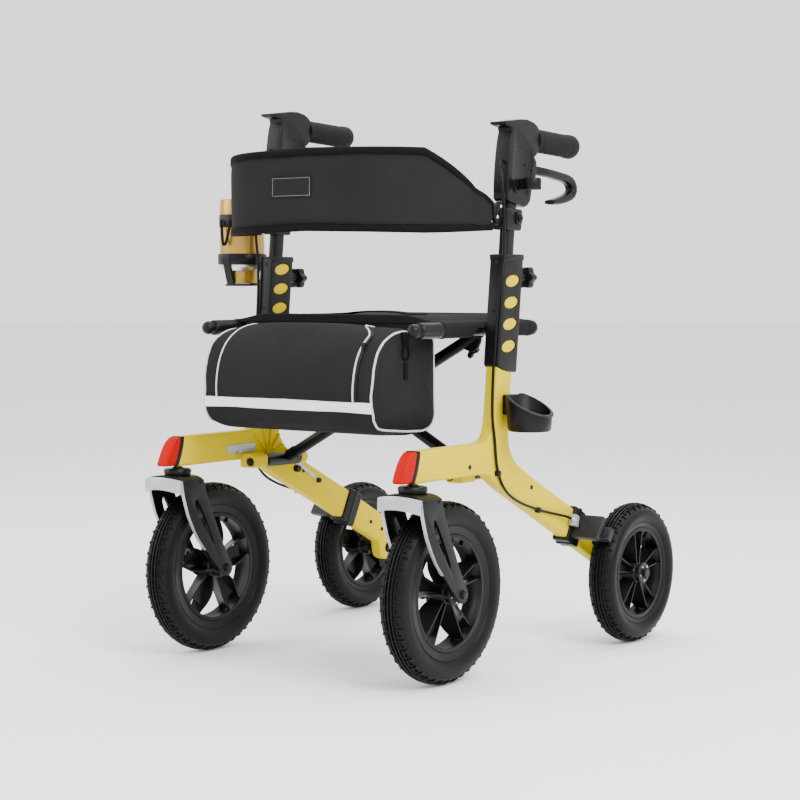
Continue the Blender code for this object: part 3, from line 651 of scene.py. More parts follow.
def smooth_line(points: Sequence[Sequence[float]], per_span: int) -> list[Vector]:
    """Points on a smooth curve through the given ones.

    Args:
        points: knots of the curve.
        per_span: points in each span.

    Returns:
        The curve's points.
    """
    knots = [Vector(point) for point in points]
    line = []
    for index in range(len(knots) - 1):
        before, start = knots[max(index - 1, 0)], knots[index]
        end, after = knots[index + 1], knots[min(index + 2, len(knots) - 1)]
        for step in range(per_span):
            t = step / per_span
            line.append(
                0.5 * (
                    2 * start + (end - before) * t + (2 * before - 5 * start + 4 * end - after) * t**2
                    + (3 * start - before - 3 * end + after) * t**3
                )
            )
    line.append(knots[-1])
    return line


def rounded(points: Sequence[Flat], radius: float, steps: int = 4) -> list[Flat]:
    """Outline with its corners rounded."""
    out: list[Flat] = []
    count = len(points)
    for index, point in enumerate(points):
        here = Vector(point)
        before = Vector(points[index - 1]) - here
        after = Vector(points[(index + 1) % count]) - here
        reach = min(radius, before.length * 0.45, after.length * 0.45)
        start = here + before.normalized() * reach
        end = here + after.normalized() * reach
        for step in range(steps + 1):
            t = step / steps
            out.append(tuple((1 - t) ** 2 * start + 2 * t * (1 - t) * here + t**2 * end))
    return out


class Assembly:
    """What every sub-assembly can do: dress a piece and hang it on a body."""

    def __init__(self, finishes: Finishes) -> None:
        """Keep the finishes."""
        self.finishes = finishes

    def dress(
        self, obj: Any, name: str, body: str, finish: Any, slot: str, replaces: Sequence[str] = (),
        smooth: float = 35.0, bends: bool = False,
    ) -> Any:
        """Name, paint, shade and place a piece, and ride it on a body.

        Args:
            obj: the modelled piece.
            name: its name.
            body: the body that it moves with.
            finish: its material.
            slot: the record's material slot; not used.
            replaces: CAD nodes that it stands for.
            smooth: edges flatter than this angle are shaded smooth.
            bends: whether the piece is left off every body instead of riding on one.

        Returns:
            The piece.
        """
        obj.name = name
        obj.data.name = name
        obj.data.materials.clear()
        obj.data.materials.append(finish)
        for face in obj.data.polygons:
            face.material_index = 0
        BENCH.only(obj)
        bpy.ops.object.transform_apply(location=True, rotation=True, scale=True)
        obj.data.transform(Matrix.Translation(ORIGIN))
        bpy.ops.object.shade_smooth_by_angle(angle=math.radians(smooth))
        if not bends:
            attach(obj, body)
        if replaces:
            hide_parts(*replaces)
        LOG.info("%s on %s", name, body)
        return obj


# ---------------------------------------------------------------- wheels


@dataclass
class Wheel(Assembly):
    """A spoked wheel with its air tyre."""

    finishes: Finishes
    side: Side
    end: str
    centre: Vector
    radius: float
    bead: float
    opening: float
    hub_half: float
    pitches: int = 44

    @property
    def body(self) -> str:
        """Body that rolls."""
        return f"{self.side.label}_{self.end}_wheel"

    def at(self, across: float, radius: float, turn: float) -> Point:
        """A place by distance outwards, radius and angle round the axle."""
        return (
            self.centre.x + self.side.value * across,
            self.centre.y + radius * math.cos(turn),
            self.centre.z + radius * math.sin(turn),
        )

    def crown(self, across: float) -> float:
        """Radius of the tread's base at a distance from the middle."""
        return self.radius - 0.0034 - 0.0056 * (across / 0.0205) ** 2

    def build(self) -> None:
        """Model tyre, rim, spokes and hub."""
        self.tyre()
        self.rim()
        self.spokes()
        self.hub()

    def tyre(self) -> None:
        """Casing with three centre ribs, bridges between them and hooked side blocks."""
        half = TYRE_HALF
        wall = self.radius - self.bead
        ribs = [(0.0, self.radius), (0.0013, self.radius), (0.0017, self.crown(0.0017)),
                (0.0052, self.crown(0.0052))]
        ribs += [(0.0056, self.radius - 0.0006), (0.0078, self.radius - 0.0008), (0.0082, self.crown(0.0082))]
        ribs += [(0.0140, self.crown(0.0140)), (0.0200, self.crown(0.0200)), (0.0226, self.radius - 0.0112)]
        ribs += [(0.0238, self.radius - 0.0118), (0.0246, self.radius - 0.0140)]
        walls = [(half - 0.0004, self.bead + 0.52 * wall), (half, self.bead + 0.40 * wall)]
        walls += [(half - 0.0008, self.bead + 0.24 * wall), (half - 0.0032, self.bead + 0.10 * wall)]
        walls += [(half - 0.0062, self.bead + 0.02 * wall), (half - 0.0075, self.bead)]
        right = ribs + walls
        profile = [(-across, distance) for across, distance in right[::-1]] + right[1:]
        casing = BENCH.turn(profile, self.centre, (1, 0, 0), 88, solid=False)
        parts = [casing]
        pitch = math.tau / self.pitches
        bridge = self.block([(0.0012, 0.0), (0.0058, 0.0), (0.0058, 0.0010), (0.0012, 0.0010)], 0.0030)
        other = self.block([(-0.0058, 0.004), (-0.0012, 0.004), (-0.0012, 0.005), (-0.0058, 0.005)], 0.0030)
        parts += [bridge, other]
        length = pitch * self.radius
        for sign in (1, -1):
            hook = [(0.0104, 0.0), (0.0192, 0.0), (0.0206, 0.0014), (0.0206, 0.0046), (0.0184, 0.0046)]
            hook += [(0.0184, 0.0022), (0.0124, 0.0022), (0.0124, 0.62 * length), (0.0160, 0.62 * length)]
            hook += [(0.0160, 0.62 * length + 0.002), (0.0104, 0.62 * length + 0.002)]
            parts.append(self.block([(sign * x, run + (0.5 - sign / 2) * 0.5 * length) for x, run in hook],
                                    0.0030))
        for part in parts[1:]:
            BENCH.around(part, self.pitches, self.centre, (1, 0, 0))
        tyre = BENCH.join(*parts)
        name = f"{self.side.label}_{self.end}_tread_and_walls"
        self.dress(
            tyre, name, self.body, self.finishes.tyre, "tyre_rubber", [f"{self.side.label}_{self.end}_tyre"], 40
        )

    def block(self, outline: Sequence[Flat], height: float, drop: float | None = None) -> Any:
        """A raised block on the tread.

        Args:
            outline: places as (distance across, distance round) in order.
            height: height over the casing.
            drop: how far below the top of the tyre the casing is, where the crown rule doesn't hold.

        Returns:
            The block.
        """
        def point(across: float, run: float, rise: float) -> Point:
            """Place on or over the casing."""
            base = self.crown(across) if drop is None else self.radius - drop
            return self.at(across, base + rise, run / self.radius)

        obj = BENCH.loop([point(across, run, -0.0006) for across, run in outline], True)
        BENCH.edit(obj)
        bpy.ops.mesh.extrude_region_move()
        BENCH.fresh()
        count = len(outline)
        for index, (across, run) in enumerate(outline):
            obj.data.vertices[count + index].co = point(across, run, height)
        BENCH.edit(obj)
        bpy.ops.mesh.normals_make_consistent(inside=False)
        BENCH.fresh()
        return obj

    def rim(self) -> None:
        """Barrel with a stepped flange on both sides."""
        width = 0.72 * TYRE_HALF
        seat = self.bead + 0.0012
        half = [(0.0, self.opening + 0.0035), (0.008, self.opening + 0.0030), (width - 0.0050, self.opening)]
        half += [(width - 0.0014, self.opening - 0.0004), (width - 0.0006, self.opening + 0.0008)]
        half += [(width - 0.0010, self.opening + 0.0062), (width - 0.0020, self.opening + 0.0070)]
        half += [(width - 0.0010, self.opening + 0.0080), (width + 0.0006, seat - 0.0034)]
        half += [(width + 0.0014, seat - 0.0010), (width + 0.0004, seat), (0.012, seat)]
        profile = [(-across, distance) for across, distance in half[::-1]] + half[1:]
        ring = BENCH.turn(profile, self.centre, (1, 0, 0), 96, solid=False)
        name = f"{self.side.label}_{self.end}_rim_barrel"
        self.dress(
            ring, name, self.body, self.finishes.wheel, "black_plastic", [f"{self.side.label}_{self.end}_rim"]
        )

    def spokes(self) -> None:
        """Five pairs of deep curved blades with a web sunk between each pair."""
        blades: list[Any] = []
        reach = self.opening + 0.002
        for pair in range(5):
            middle = math.tau * (pair / 5 + 0.25)
            for lean in (-1, 1):
                blades.append(self.blade(middle, lean, reach))
            blades.append(self.web(middle, reach))
        spokes = BENCH.join(*blades)
        name = f"{self.side.label}_{self.end}_twin_spokes"
        self.dress(spokes, name, self.body, self.finishes.wheel, "black_plastic")

    def blade(self, middle: float, lean: int, reach: float) -> Any:
        """One blade of a pair: thin at its outer edge and deep across the rim."""
        stations = 9
        rows = []
        for step in range(stations):
            share = step / (stations - 1)
            radius = 0.013 + (reach - 0.013) * share
            offset = lean * (0.0042 + 0.0108 * share**1.3)
            turn = middle + math.asin(offset / radius)
            depth = 0.0105 + 0.0060 * math.sin(math.pi * min(share * 1.15, 1.0))
            thick = 0.0013 / radius
            flare = lean * 0.0110 * math.sin(math.pi * share) / radius
            rows.append([
                self.at(0.0135, radius, turn - thick), self.at(0.0135, radius, turn + thick),
                self.at(0.0010, radius, turn + flare * 0.35 + thick),
                self.at(-depth, radius, turn + flare + thick),
                self.at(-depth, radius, turn + flare - thick),
                self.at(0.0010, radius, turn + flare * 0.35 - thick),
            ])
        return skin_rows(rows)

    def web(self, middle: float, reach: float) -> Any:
        """Sunk floor between the blades of a pair, ending in a curve short of the rim."""
        stations = 8
        rows = []
        for step in range(stations):
            share = step / (stations - 1)
            radius = 0.013 + (reach * 0.80 - 0.013) * share
            offset = 0.0042 + 0.0108 * (share * 0.80) ** 1.3
            turn = math.asin(offset / radius)
            sink = 0.0060 - 0.011 * share
            rows.append([
                self.at(sink, radius, middle - turn), self.at(sink, radius, middle + turn),
                self.at(sink - 0.003, radius, middle + turn), self.at(sink - 0.003, radius, middle - turn),
            ])
        return skin_rows(rows)

    def hub(self) -> None:
        """Bearing barrel among five screw bosses, with a capped outer end."""
        inner = -self.hub_half
        outer = self.hub_half - 0.004
        start = self.at(inner, 0, 0)
        barrel = BENCH.rod(start, self.at(outer, 0, 0), 0.0115, 32)
        sleeve = BENCH.rod(self.at(-0.013, 0, 0), self.at(0.0145, 0, 0), 0.0185, 40, 0.002)
        boss = BENCH.rod(self.at(inner + 0.003, 0.0138, 0.9), self.at(outer - 0.004, 0.0138, 0.9), 0.0045, 20)
        BENCH.around(boss, 5, self.centre, (1, 0, 0))
        cover = BENCH.rod(self.at(outer - 0.004, 0, 0), self.at(outer + 0.0005, 0, 0), 0.0195, 48, 0.0012)
        hub = BENCH.join(barrel, sleeve, boss, cover)
        name = f"{self.side.label}_{self.end}_hub"
        # The hub takes the lighter slate finish instead of the wheel's black: a painted highlight for the sheen on
        # its barrel and bosses.
        self.dress(hub, name, self.body, self.finishes.slate, "black_plastic")
        screw = BENCH.rod(self.at(outer, 0.0138, 0.9), self.at(outer + 0.0017, 0.0138, 0.9), 0.0021, 16,
                          0.0004)
        BENCH.around(screw, 5, self.centre, (1, 0, 0))
        self.dress(screw, f"{self.side.label}_{self.end}_hub_screws", self.body, self.finishes.steel, "steel")
        stem_end = self.bead - 0.010
        valve = BENCH.rod(self.at(0.004, self.bead - 0.002, 1.0), self.at(0.004, stem_end - 0.012, 1.0),
                          0.0026, 16)
        cap = BENCH.rod(self.at(0.004, stem_end - 0.006, 1.0), self.at(0.004, stem_end - 0.015, 1.0),
                        0.0034, 16)
        valve = BENCH.join(valve, cap)
        self.dress(valve, f"{self.side.label}_{self.end}_valve", self.body, self.finishes.tyre, "tyre_rubber")


def skin_rows(rows: Sequence[Sequence[Point]], closed: bool = False) -> Any:
    """Bridge equal sections, one after another, into a closed bar.

    Args:
        rows: sections with the same number of corners.
        closed: whether the last section joins the first.

    Returns:
        The new object.
    """
    corners = len(rows[0])
    flat = [corner for row in rows for corner in row]
    obj = BENCH.loop(flat, False)
    obj.data.clear_geometry()
    faces = []
    count = len(rows)
    for index in range(count if closed else count - 1):
        here, there = index * corners, ((index + 1) % count) * corners
        for corner in range(corners):
            after = (corner + 1) % corners
            faces.append((here + corner, here + after, there + after, there + corner))
    if not closed:
        faces.append(tuple(range(corners))[::-1])
        faces.append(tuple((count - 1) * corners + corner for corner in range(corners)))
    obj.data.from_pydata(flat, [], faces)
    BENCH.edit(obj)
    bpy.ops.mesh.normals_make_consistent(inside=False)
    BENCH.fresh()
    return obj


# ---------------------------------------------------------------- caster


@dataclass
class Caster(Assembly):
    """Swivelling fork of a front wheel with its cap, trim and axle."""

    finishes: Finishes
    side: Side
    half: float = 0.0425
    wall: float = 0.0060

    @property
    def body(self) -> str:
        """Body that swivels."""
        return f"{self.side.label}_caster"

    @property
    def x(self) -> float:
        """Middle of the fork."""
        return self.side.value * FRAME_X

    def name(self, part: str) -> str:
        """Piece name on this side."""
        return f"{self.side.label}_{part}"

    def build(self) -> None:
        """Model the fork and what is bolted to it."""
        self.fork()
        self.cap()
        self.trim()
        self.fasteners()

    def fork(self) -> None:
        """Two slotted legs under a closed crown."""
        axle = (-AXLE_Y, FRONT_R)
        outline = [(-0.3800, 0.3255), (-0.3790, 0.312), (-0.3745, 0.290), (-0.364, 0.258), (-0.351, 0.233)]
        outline += [(-0.338, 0.213), (-0.303, 0.171)]
        outline += arc(axle, 0.015, 225, 380, 16)
        outline += [(-0.258, 0.171), (-0.275, 0.200), (-0.295, 0.243), (-0.315, 0.288), (-0.322, 0.308)]
        outline += [(-0.326, 0.3255)]
        fork = BENCH.plate(outline, self.x - self.half, self.x + self.half, "X")
        inner = self.half - self.wall
        space = rounded([(-0.42, 0.09), (-0.20, 0.09), (-0.20, 0.3085), (-0.42, 0.3085)], 0.01)
        BENCH.cut(fork, BENCH.plate(space, self.x - inner, self.x + inner, "X"))
        line = [(-0.3445, 0.2835), (-0.343, 0.277), (-0.338, 0.266), (-0.330, 0.252), (-0.322, 0.239)]
        line += [(-0.311, 0.221), (-0.302, 0.206), (-0.299, 0.200)]
        shoulders = [(self.x - 0.08, 0.40), (self.x - 0.08, 0.3150), (self.x - self.half, 0.3172)]
        shoulders += [(self.x + offset, 0.3257 - 0.0085 * (offset / self.half) ** 4)
                      for offset in (-0.036, -0.030, -0.020, 0.0, 0.020, 0.030, 0.036)]
        shoulders += [(self.x + self.half, 0.3172), (self.x + 0.08, 0.3150), (self.x + 0.08, 0.40)]
        BENCH.cut(fork, BENCH.plate(shoulders, -0.45, -0.15, "Y"))
        slot = strip(line, [0.0015, 0.0048, 0.0064, 0.0066, 0.0058, 0.0042, 0.0024, 0.0008])
        BENCH.cut(fork, BENCH.plate(slot, self.x - 0.06, self.x + 0.06, "X"))
        BENCH.soften(fork, 0.0016, 3, 35)
        self.dress(
            fork, self.name("fork_legs"), self.body, self.finishes.plastic, "black_plastic",
            [self.name("caster_fork")],
        )

    def cap(self) -> None:
        """Bearing cap between the fork and the frame."""
        profile = [(0.3256, 0), (0.3256, 0.0225), (0.3268, 0.0238), (0.3278, 0.0238), (0.3286, 0.0228)]
        profile += [(0.3292, 0.0245), (0.3340, 0.0245), (0.3362, 0.0230), (0.3370, 0.020), (0.3372, 0.010)]
        profile += [(0.3395, 0.0095), (0.3400, 0.006), (0.352, 0.006), (0.352, 0)]
        cap = BENCH.turn(profile, (self.x, CASTER_Y, 0), (0, 0, 1), 64)
        self.dress(
            cap, self.name("bearing_cap"), self.body, self.finishes.plastic, "black_plastic",
            [self.name("caster_stem")],
        )

    def trim(self) -> None:
        """Bright bowed bumper and the thin trims that run down the leg fronts."""
        rows = []
        steps = 16
        for step in range(steps + 1):
            share = -1 + 2 * step / steps
            x = self.x + share * (self.half - 0.0004)
            bow = 0.0090 * (1 - share * share)
            top = 0.3192 + 0.0050 * (1 - share * share)
            low = 0.2950 + 0.0070 * (1 - share * share)
            front = -0.3862 - bow
            rows.append([
                (x, front + 0.0038, low), (x, front + 0.0006, low), (x, front, low + 0.0012),
                (x, front - 0.0002, (low + top) / 2), (x, front + 0.0004, top - 0.0012),
                (x, front + 0.0012, top), (x, front + 0.0038, top),
            ])
        bumper = skin_rows(rows)
        self.dress(
            bumper, self.name("bumper_bow"), self.body, self.finishes.silver, "silver_trim",
            [self.name("fork_bumper")], 50,
        )
        for sign in (-1, 1):
            x = self.x + sign * (self.half - 0.0030)
            edge = [(-0.3811, 0.3185), (-0.3801, 0.311), (-0.3755, 0.289), (-0.3652, 0.2575)]
            edge += [(-0.3522, 0.2322), (-0.3395, 0.2120), (-0.3210, 0.1905)]
            band = [(y, z) for y, z in edge] + [(y + 0.0016, z) for y, z in edge[::-1]]
            width = 0.0031
            strip_piece = BENCH.plate(band, x - width, x + width, "X", 0.0005, 2)
            word = "inner" if sign * self.side.value < 0 else "outer"
            self.dress(
                strip_piece, self.name(f"{word}_leg_trim"), self.body, self.finishes.silver, "silver_trim"
            )

    def fasteners(self) -> None:
        """Wheel axle with its nuts, and the screws of the bumper."""
        reach = self.half + 0.0002
        bolt = [(-reach - 0.0042, 0), (-reach - 0.0042, 0.0062), (-reach - 0.0034, 0.0072)]
        bolt += [(-reach - 0.0008, 0.0072), (-reach - 0.0008, 0.0092), (-reach, 0.0092), (-reach, 0.005)]
        bolt += [(reach, 0.005), (reach, 0.0092), (reach + 0.0008, 0.0092), (reach + 0.0008, 0.0072)]
        bolt += [(reach + 0.0034, 0.0072), (reach + 0.0042, 0.0062), (reach + 0.0042, 0)]
        axle = BENCH.turn(bolt, (self.x, -AXLE_Y, FRONT_R), (1, 0, 0), 6)
        BENCH.soften(axle, 0.0003, 1)
        self.dress(
            axle, self.name("front_axle_and_nuts"), self.body, self.finishes.dark_metal, "steel",
            [self.name("front_axle")],
        )
        screws = []
        for sign in (-1, 1):
            face = self.x + sign * self.half
            for y in (-0.367, -0.331):
                screws.append(BENCH.rod((face - sign * 0.002, y, 0.313), (face + sign * 0.0012, y, 0.313),
                                        0.0030, 20))
                screws.append(BENCH.rod((face, y, 0.313), (face + sign * 0.0016, y, 0.313), 0.0016, 6,
                                        0.0002))
        screws_piece = BENCH.join(*screws)
        self.dress(screws_piece, self.name("fork_screws"), self.body, self.finishes.dark_metal, "black_metal")


# ---------------------------------------------------------------- side frame


@dataclass
class SideFrame(Assembly):
    """Cast side frame with its sleeve, catches, rear brake and cable."""

    finishes: Finishes
    side: Side

    @property
    def body(self) -> str:
        """Body of the side frame."""
        return f"{self.side.label}_frame"

    def name(self, part: str) -> str:
        """Piece name on this side."""
        return f"{self.side.label}_{part}"

    def x(self, value: float) -> float:
        """A distance outwards from the middle plane."""
        return self.side.value * value

    def slab(self, outline: Sequence[Flat], inner: float, outer: float, edge: float = 0.0,
             steps: int = 3) -> Any:
        """An outline in Y and Z extruded across this side."""
        low, high = sorted((self.x(inner), self.x(outer)))
        return BENCH.plate(outline, low, high, "X", edge, steps, 30)

    def disc(self, y: float, z: float, inner: float, outer: float, radius: float, steps: int = 24) -> Any:
        """A round head on a side face."""
        return BENCH.rod((self.x(inner), y, z), (self.x(outer), y, z), radius, steps,
                         min(0.0006, radius * 0.3))

    def build(self) -> None:
        """Model everything fixed to the side frame."""
        self.casting()
        self.seams()
        self.inner_details()
        self.sleeve()
        self.reflector()
        self.rear_brake()
        self.cable()
        self.pins()

    def casting(self) -> None:
        """Front arm, upright and rear arm in one piece with the pivot lugs."""
        top = 0.700
        outline = [(-0.359, 0.341), (-0.160, 0.341), (-0.141, 0.338), (-0.128, 0.328), (-0.118, 0.3215)]
        outline += [(-0.105, 0.3135), (0.089, 0.217), (0.236, 0.143)]
        outline += arc((AXLE_Y - 0.002, REAR_R), 0.024, 200, 370, 14)
        outline += [(0.266, 0.158), (0.247, 0.197), (0.134, 0.257), (-0.030, 0.3385), (-0.043, 0.3455)]
        outline += [(-0.056, 0.3545), (-0.066, 0.3640), (-0.074, 0.3755), (-0.079, 0.389), (-0.0806, 0.404)]
        outline += [(UPRIGHT_Y + UPRIGHT_HALF, UPRIGHT_Z), (upright_y(top) + UPRIGHT_HALF, top)]
        outline += [(upright_y(top) - UPRIGHT_HALF, top), (UPRIGHT_Y - UPRIGHT_HALF, UPRIGHT_Z)]
        outline += [(-0.1290, 0.424), (-0.1325, 0.4125), (-0.138, 0.4045), (-0.146, 0.3985), (-0.156, 0.3955)]
        outline += [(-0.170, 0.3942), (-0.343, 0.394)]
        casting = self.slab(outline, FRAME_X - FRAME_HALF, FRAME_X + FRAME_HALF)
        BENCH.soften(casting, 0.0042, 4, 50)
        lugs = []
        for low, high in ((-0.190, -0.1503), (-0.0547, -0.036)):
            web = rounded([(0.214, 0.327), (0.2475, 0.327), (0.2475, 0.352), (0.228, 0.353),
                           (0.213, 0.348)], 0.004)
            flat = [(self.x(first), second) for first, second in web]
            lugs.append(BENCH.plate(flat, low, high, "Y", 0.0012, 2))
        casting = BENCH.join(casting, *lugs)
        self.dress(
            casting, self.name("frame_casting"), self.body, self.finishes.yellow, "frame_yellow",
            [self.name("side_frame")], 40,
        )

    def seams(self) -> None:
        """Parting lines and screws where the arms meet the upright, on the outer face."""
        face = FRAME_X + FRAME_HALF
        seam = smooth_line([(-0.168, 0.3425), (-0.160, 0.352), (-0.155, 0.368), (-0.157, 0.384),
                            (-0.164, 0.3935)], 6)
        lower = smooth_line([(-0.078, 0.3025), (-0.068, 0.312), (-0.057, 0.326), (-0.046, 0.338),
                             (-0.037, 0.3415)], 6)
        beads = []
        for line in (seam, lower):
            beads.append(BENCH.pipe([(self.x(face - 0.0001), p.x, p.y) for p in line], 0.0007))
        beads_piece = BENCH.join(*beads)
        self.dress(beads_piece, self.name("arm_seams"), self.body, self.finishes.yellow, "frame_yellow")
        heads = []
        for y, z in ((-0.201, 0.357), (-0.008, 0.307), (0.205, 0.187), (0.242, 0.169)):
            for inner, outer in ((face - 0.001, face + 0.0014), (FRAME_X - FRAME_HALF + 0.001, 0.2441)):
                heads.append(self.disc(y, z, inner, outer, 0.0042))
                direction = 1 if outer > inner else -1
                heads.append(self.disc(y, z, outer - 0.001 * direction, outer + 0.0003 * direction, 0.0021,
                                       6))
        heads_piece = BENCH.join(*heads)
        self.dress(heads_piece, self.name("frame_screws"), self.body, self.finishes.dark_metal, "black_metal")

    def inner_details(self) -> None:
        """Cast ribs that fan from the pivot, bright tie plates and the cable guide."""
        face = FRAME_X - FRAME_HALF
        ribs = []
        for y, z in ((-0.150, 0.386), (-0.128, 0.400), (-0.103, 0.402), (-0.082, 0.382), (-0.070, 0.362)):
            foot = Vector((-0.112, 0.346))
            tip = Vector((y, z))
            line = [tuple(foot), tuple(foot.lerp(tip, 0.5)), tuple(tip)]
            ribs.append(self.slab(strip(line, [0.0022, 0.0019, 0.0012]), face - 0.0040, face + 0.001,
                                  0.0006, 2))
        ribs.append(self.disc(-0.112, 0.343, face - 0.006, face + 0.001, 0.012, 40))
        ribs_piece = BENCH.join(*ribs)
        self.dress(ribs_piece, self.name("cast_ribs"), self.body, self.finishes.yellow, "frame_yellow")
        plate = self.slab(
            rounded([(-0.228, 0.354), (-0.151, 0.354), (-0.151, 0.370), (-0.228, 0.370)], 0.004),
            face - 0.0016, face + 0.0004, 0.0005, 2,
        )
        hook = strip(
            [(-0.034, 0.3235), (-0.026, 0.3240), (-0.017, 0.3190), (-0.004, 0.3095), (0.013, 0.2995),
             (0.029, 0.2900)],
            [0.003, 0.004, 0.004, 0.0036, 0.0036, 0.003],
        )
        guide = self.slab(hook, face - 0.0022, face + 0.0004, 0.0005, 2)
        tie = BENCH.join(plate, guide, self.disc(-0.226 + 0.008, 0.362, face - 0.003, face, 0.0032))
        self.dress(tie, self.name("tie_plates"), self.body, self.finishes.silver, "silver_trim")
        roller = self.disc(-0.032, 0.313, face - 0.0095, face + 0.0005, 0.0065, 32)
        pad = self.disc(0.036, 0.285, face - 0.0060, face + 0.0005, 0.0050, 32)
        roller = BENCH.join(roller, pad)
        self.dress(roller, self.name("guide_roller"), self.body, self.finishes.plastic, "black_plastic")

    def window(self, height: float) -> list[Flat]:
        """Outline of an oval window in the sleeve."""
        middle = upright_y(height) + 0.004
        turns = [math.tau * step / 28 for step in range(28)]
        return [
            (middle + 0.0215 * math.cos(turn),
             height + 0.0105 * math.sin(turn) + 0.10 * 0.0215 * math.cos(turn))
            for turn in turns
        ]

    def sleeve(self) -> None:
        """Moulded cover with oval windows that show the yellow upright."""
        front, rear, top, low = 0.0262, 0.0345, 0.715, 0.511
        outline = [(upright_y(0.517) - front, 0.5265), (upright_y(0.517) - front + 0.004, 0.5215)]
        outline += [(upright_y(0.516) - 0.010, 0.5170), (upright_y(0.516) + 0.010, 0.5130)]
        outline += [(upright_y(low) + rear, low), (upright_y(0.58) + rear, 0.58),
                    (upright_y(top) + rear, top)]
        outline += [(upright_y(top) - front, top)]
        cover = self.slab(outline, 0.2428, 0.2732, 0.0042, 4)
        for height in (0.557, 0.595, 0.632, 0.669):
            BENCH.cut(cover, self.slab(self.window(height), 0.2695, 0.2800))
        for height in (0.582, 0.619, 0.655, 0.691):
            BENCH.cut(cover, self.slab(self.window(height), 0.2360, 0.2465))
        collar = rounded([
            (upright_y(top) - front - 0.0005, top - 0.010), (upright_y(top) + rear - 0.001, top - 0.010),
            (upright_y(top) + rear - 0.001, top - 0.0005), (upright_y(top) - front - 0.0005, top - 0.0005),
        ], 0.001)
        lip = self.slab(collar, 0.2421, 0.2739, 0.0012, 3)
        catch = self.slab(arc((-0.090, 0.555), 0.007, 0, 360, 24)[:-1], 0.2335, 0.2445, 0.001, 2)
        rear_y = upright_y(0.675) + rear
        boss = BENCH.rod((self.x(FRAME_X), rear_y - 0.010, 0.675), (self.x(FRAME_X), -0.0235, 0.675),
                         0.0095, 32, 0.001)
        cover = BENCH.join(cover, lip, catch, boss)
        self.dress(
            cover, self.name("sleeve_cover"), self.body, self.finishes.plastic, "black_plastic",
            [self.name("upright_sleeve")], 30,
        )
        shades = []
        for height in (0.557, 0.595, 0.632, 0.669):
            shades.append(self.slab(self.bulge(height), 0.2700, 0.2718, 0.0008, 3))
        for height in (0.582, 0.619, 0.655, 0.691):
            shades.append(self.slab(self.bulge(height), 0.2442, 0.2460, 0.0008, 3))
        windows = BENCH.join(*shades)
        self.dress(windows, self.name("window_inlays"), self.body, self.finishes.yellow, "frame_yellow")
        screws = []
        for height in (0.7006, 0.618):
            y = upright_y(height) - front
            screws.append(BENCH.rod((self.x(FRAME_X), y + 0.002, height),
                                    (self.x(FRAME_X), y - 0.0012, height), 0.0036, 24))
        screws_piece = BENCH.join(*screws)
        self.dress(screws_piece, self.name("sleeve_screws"), self.body, self.finishes.dark_metal,
                   "black_metal")

    def bulge(self, height: float) -> list[Flat]:
        """Outline that fills a window but for a thin shadow gap."""
        middle = Vector((upright_y(height) + 0.004, height))
        return [tuple(middle + (Vector(point) - middle) * 0.975) for point in self.window(height)]

    def reflector(self) -> None:
        """Red lens on the slanted end of the front arm, with its gasket."""
        front = [(-0.3895, 0.3455), (-0.3835, 0.3600), (-0.3760, 0.3740), (-0.3675, 0.3850),
                 (-0.3575, 0.3925)]
        rear = [(-0.3480, 0.3925), (-0.3510, 0.3770), (-0.3565, 0.3590), (-0.3640, 0.3428), (-0.3870, 0.3428)]
        glass = self.slab(front + rear, 0.2462, 0.2698)
        BENCH.soften(glass, 0.0060, 5, 50)
        self.dress(
            glass, self.name("reflector_lens"), self.body, self.finishes.lens, "reflector_red",
            [self.name("front_reflector")],
        )
        back = [(-0.3660, 0.3422), (-0.3570, 0.3422), (-0.3490, 0.3590), (-0.3435, 0.3770), (-0.3410, 0.3938)]
        back += [(-0.3500, 0.3938), (-0.3530, 0.3770), (-0.3585, 0.3590)]
        gasket = self.slab(back, 0.2455, 0.2705, 0.0014, 3)
        self.dress(gasket, self.name("reflector_gasket"), self.body, self.finishes.plastic, "black_plastic")

    def across_brake(self, low: float, high: float, half: float,
                     angle: float = math.radians(36)) -> list[Flat]:
        """Outline of a block on the line from the rear axle to the shoe."""
        along = Vector((-math.cos(angle), math.sin(angle)))
        across = Vector((-along.y, along.x))
        middle = Vector((AXLE_Y, REAR_R))
        corners = ((low, -half), (high, -half), (high, half), (low, half))
        return [tuple(middle + along * radius + across * offset) for radius, offset in corners]

    def rear_brake(self) -> None:
        """Clamp on the rear arm, the plate over the tyre, and the pressed shoe."""
        slope = Vector((0.153, -0.077)).normalized()
        normal = Vector((-slope.y, slope.x))
        middle = Vector((0.140, 0.2225))

        def around_arm(long: float, high: float) -> list[Flat]:
            """Outline of a block that follows the arm."""
            corners = ((-1, -1), (1, -1), (1, 1), (-1, 1))
            return [tuple(middle + slope * a * long + normal * b * high) for a, b in corners]

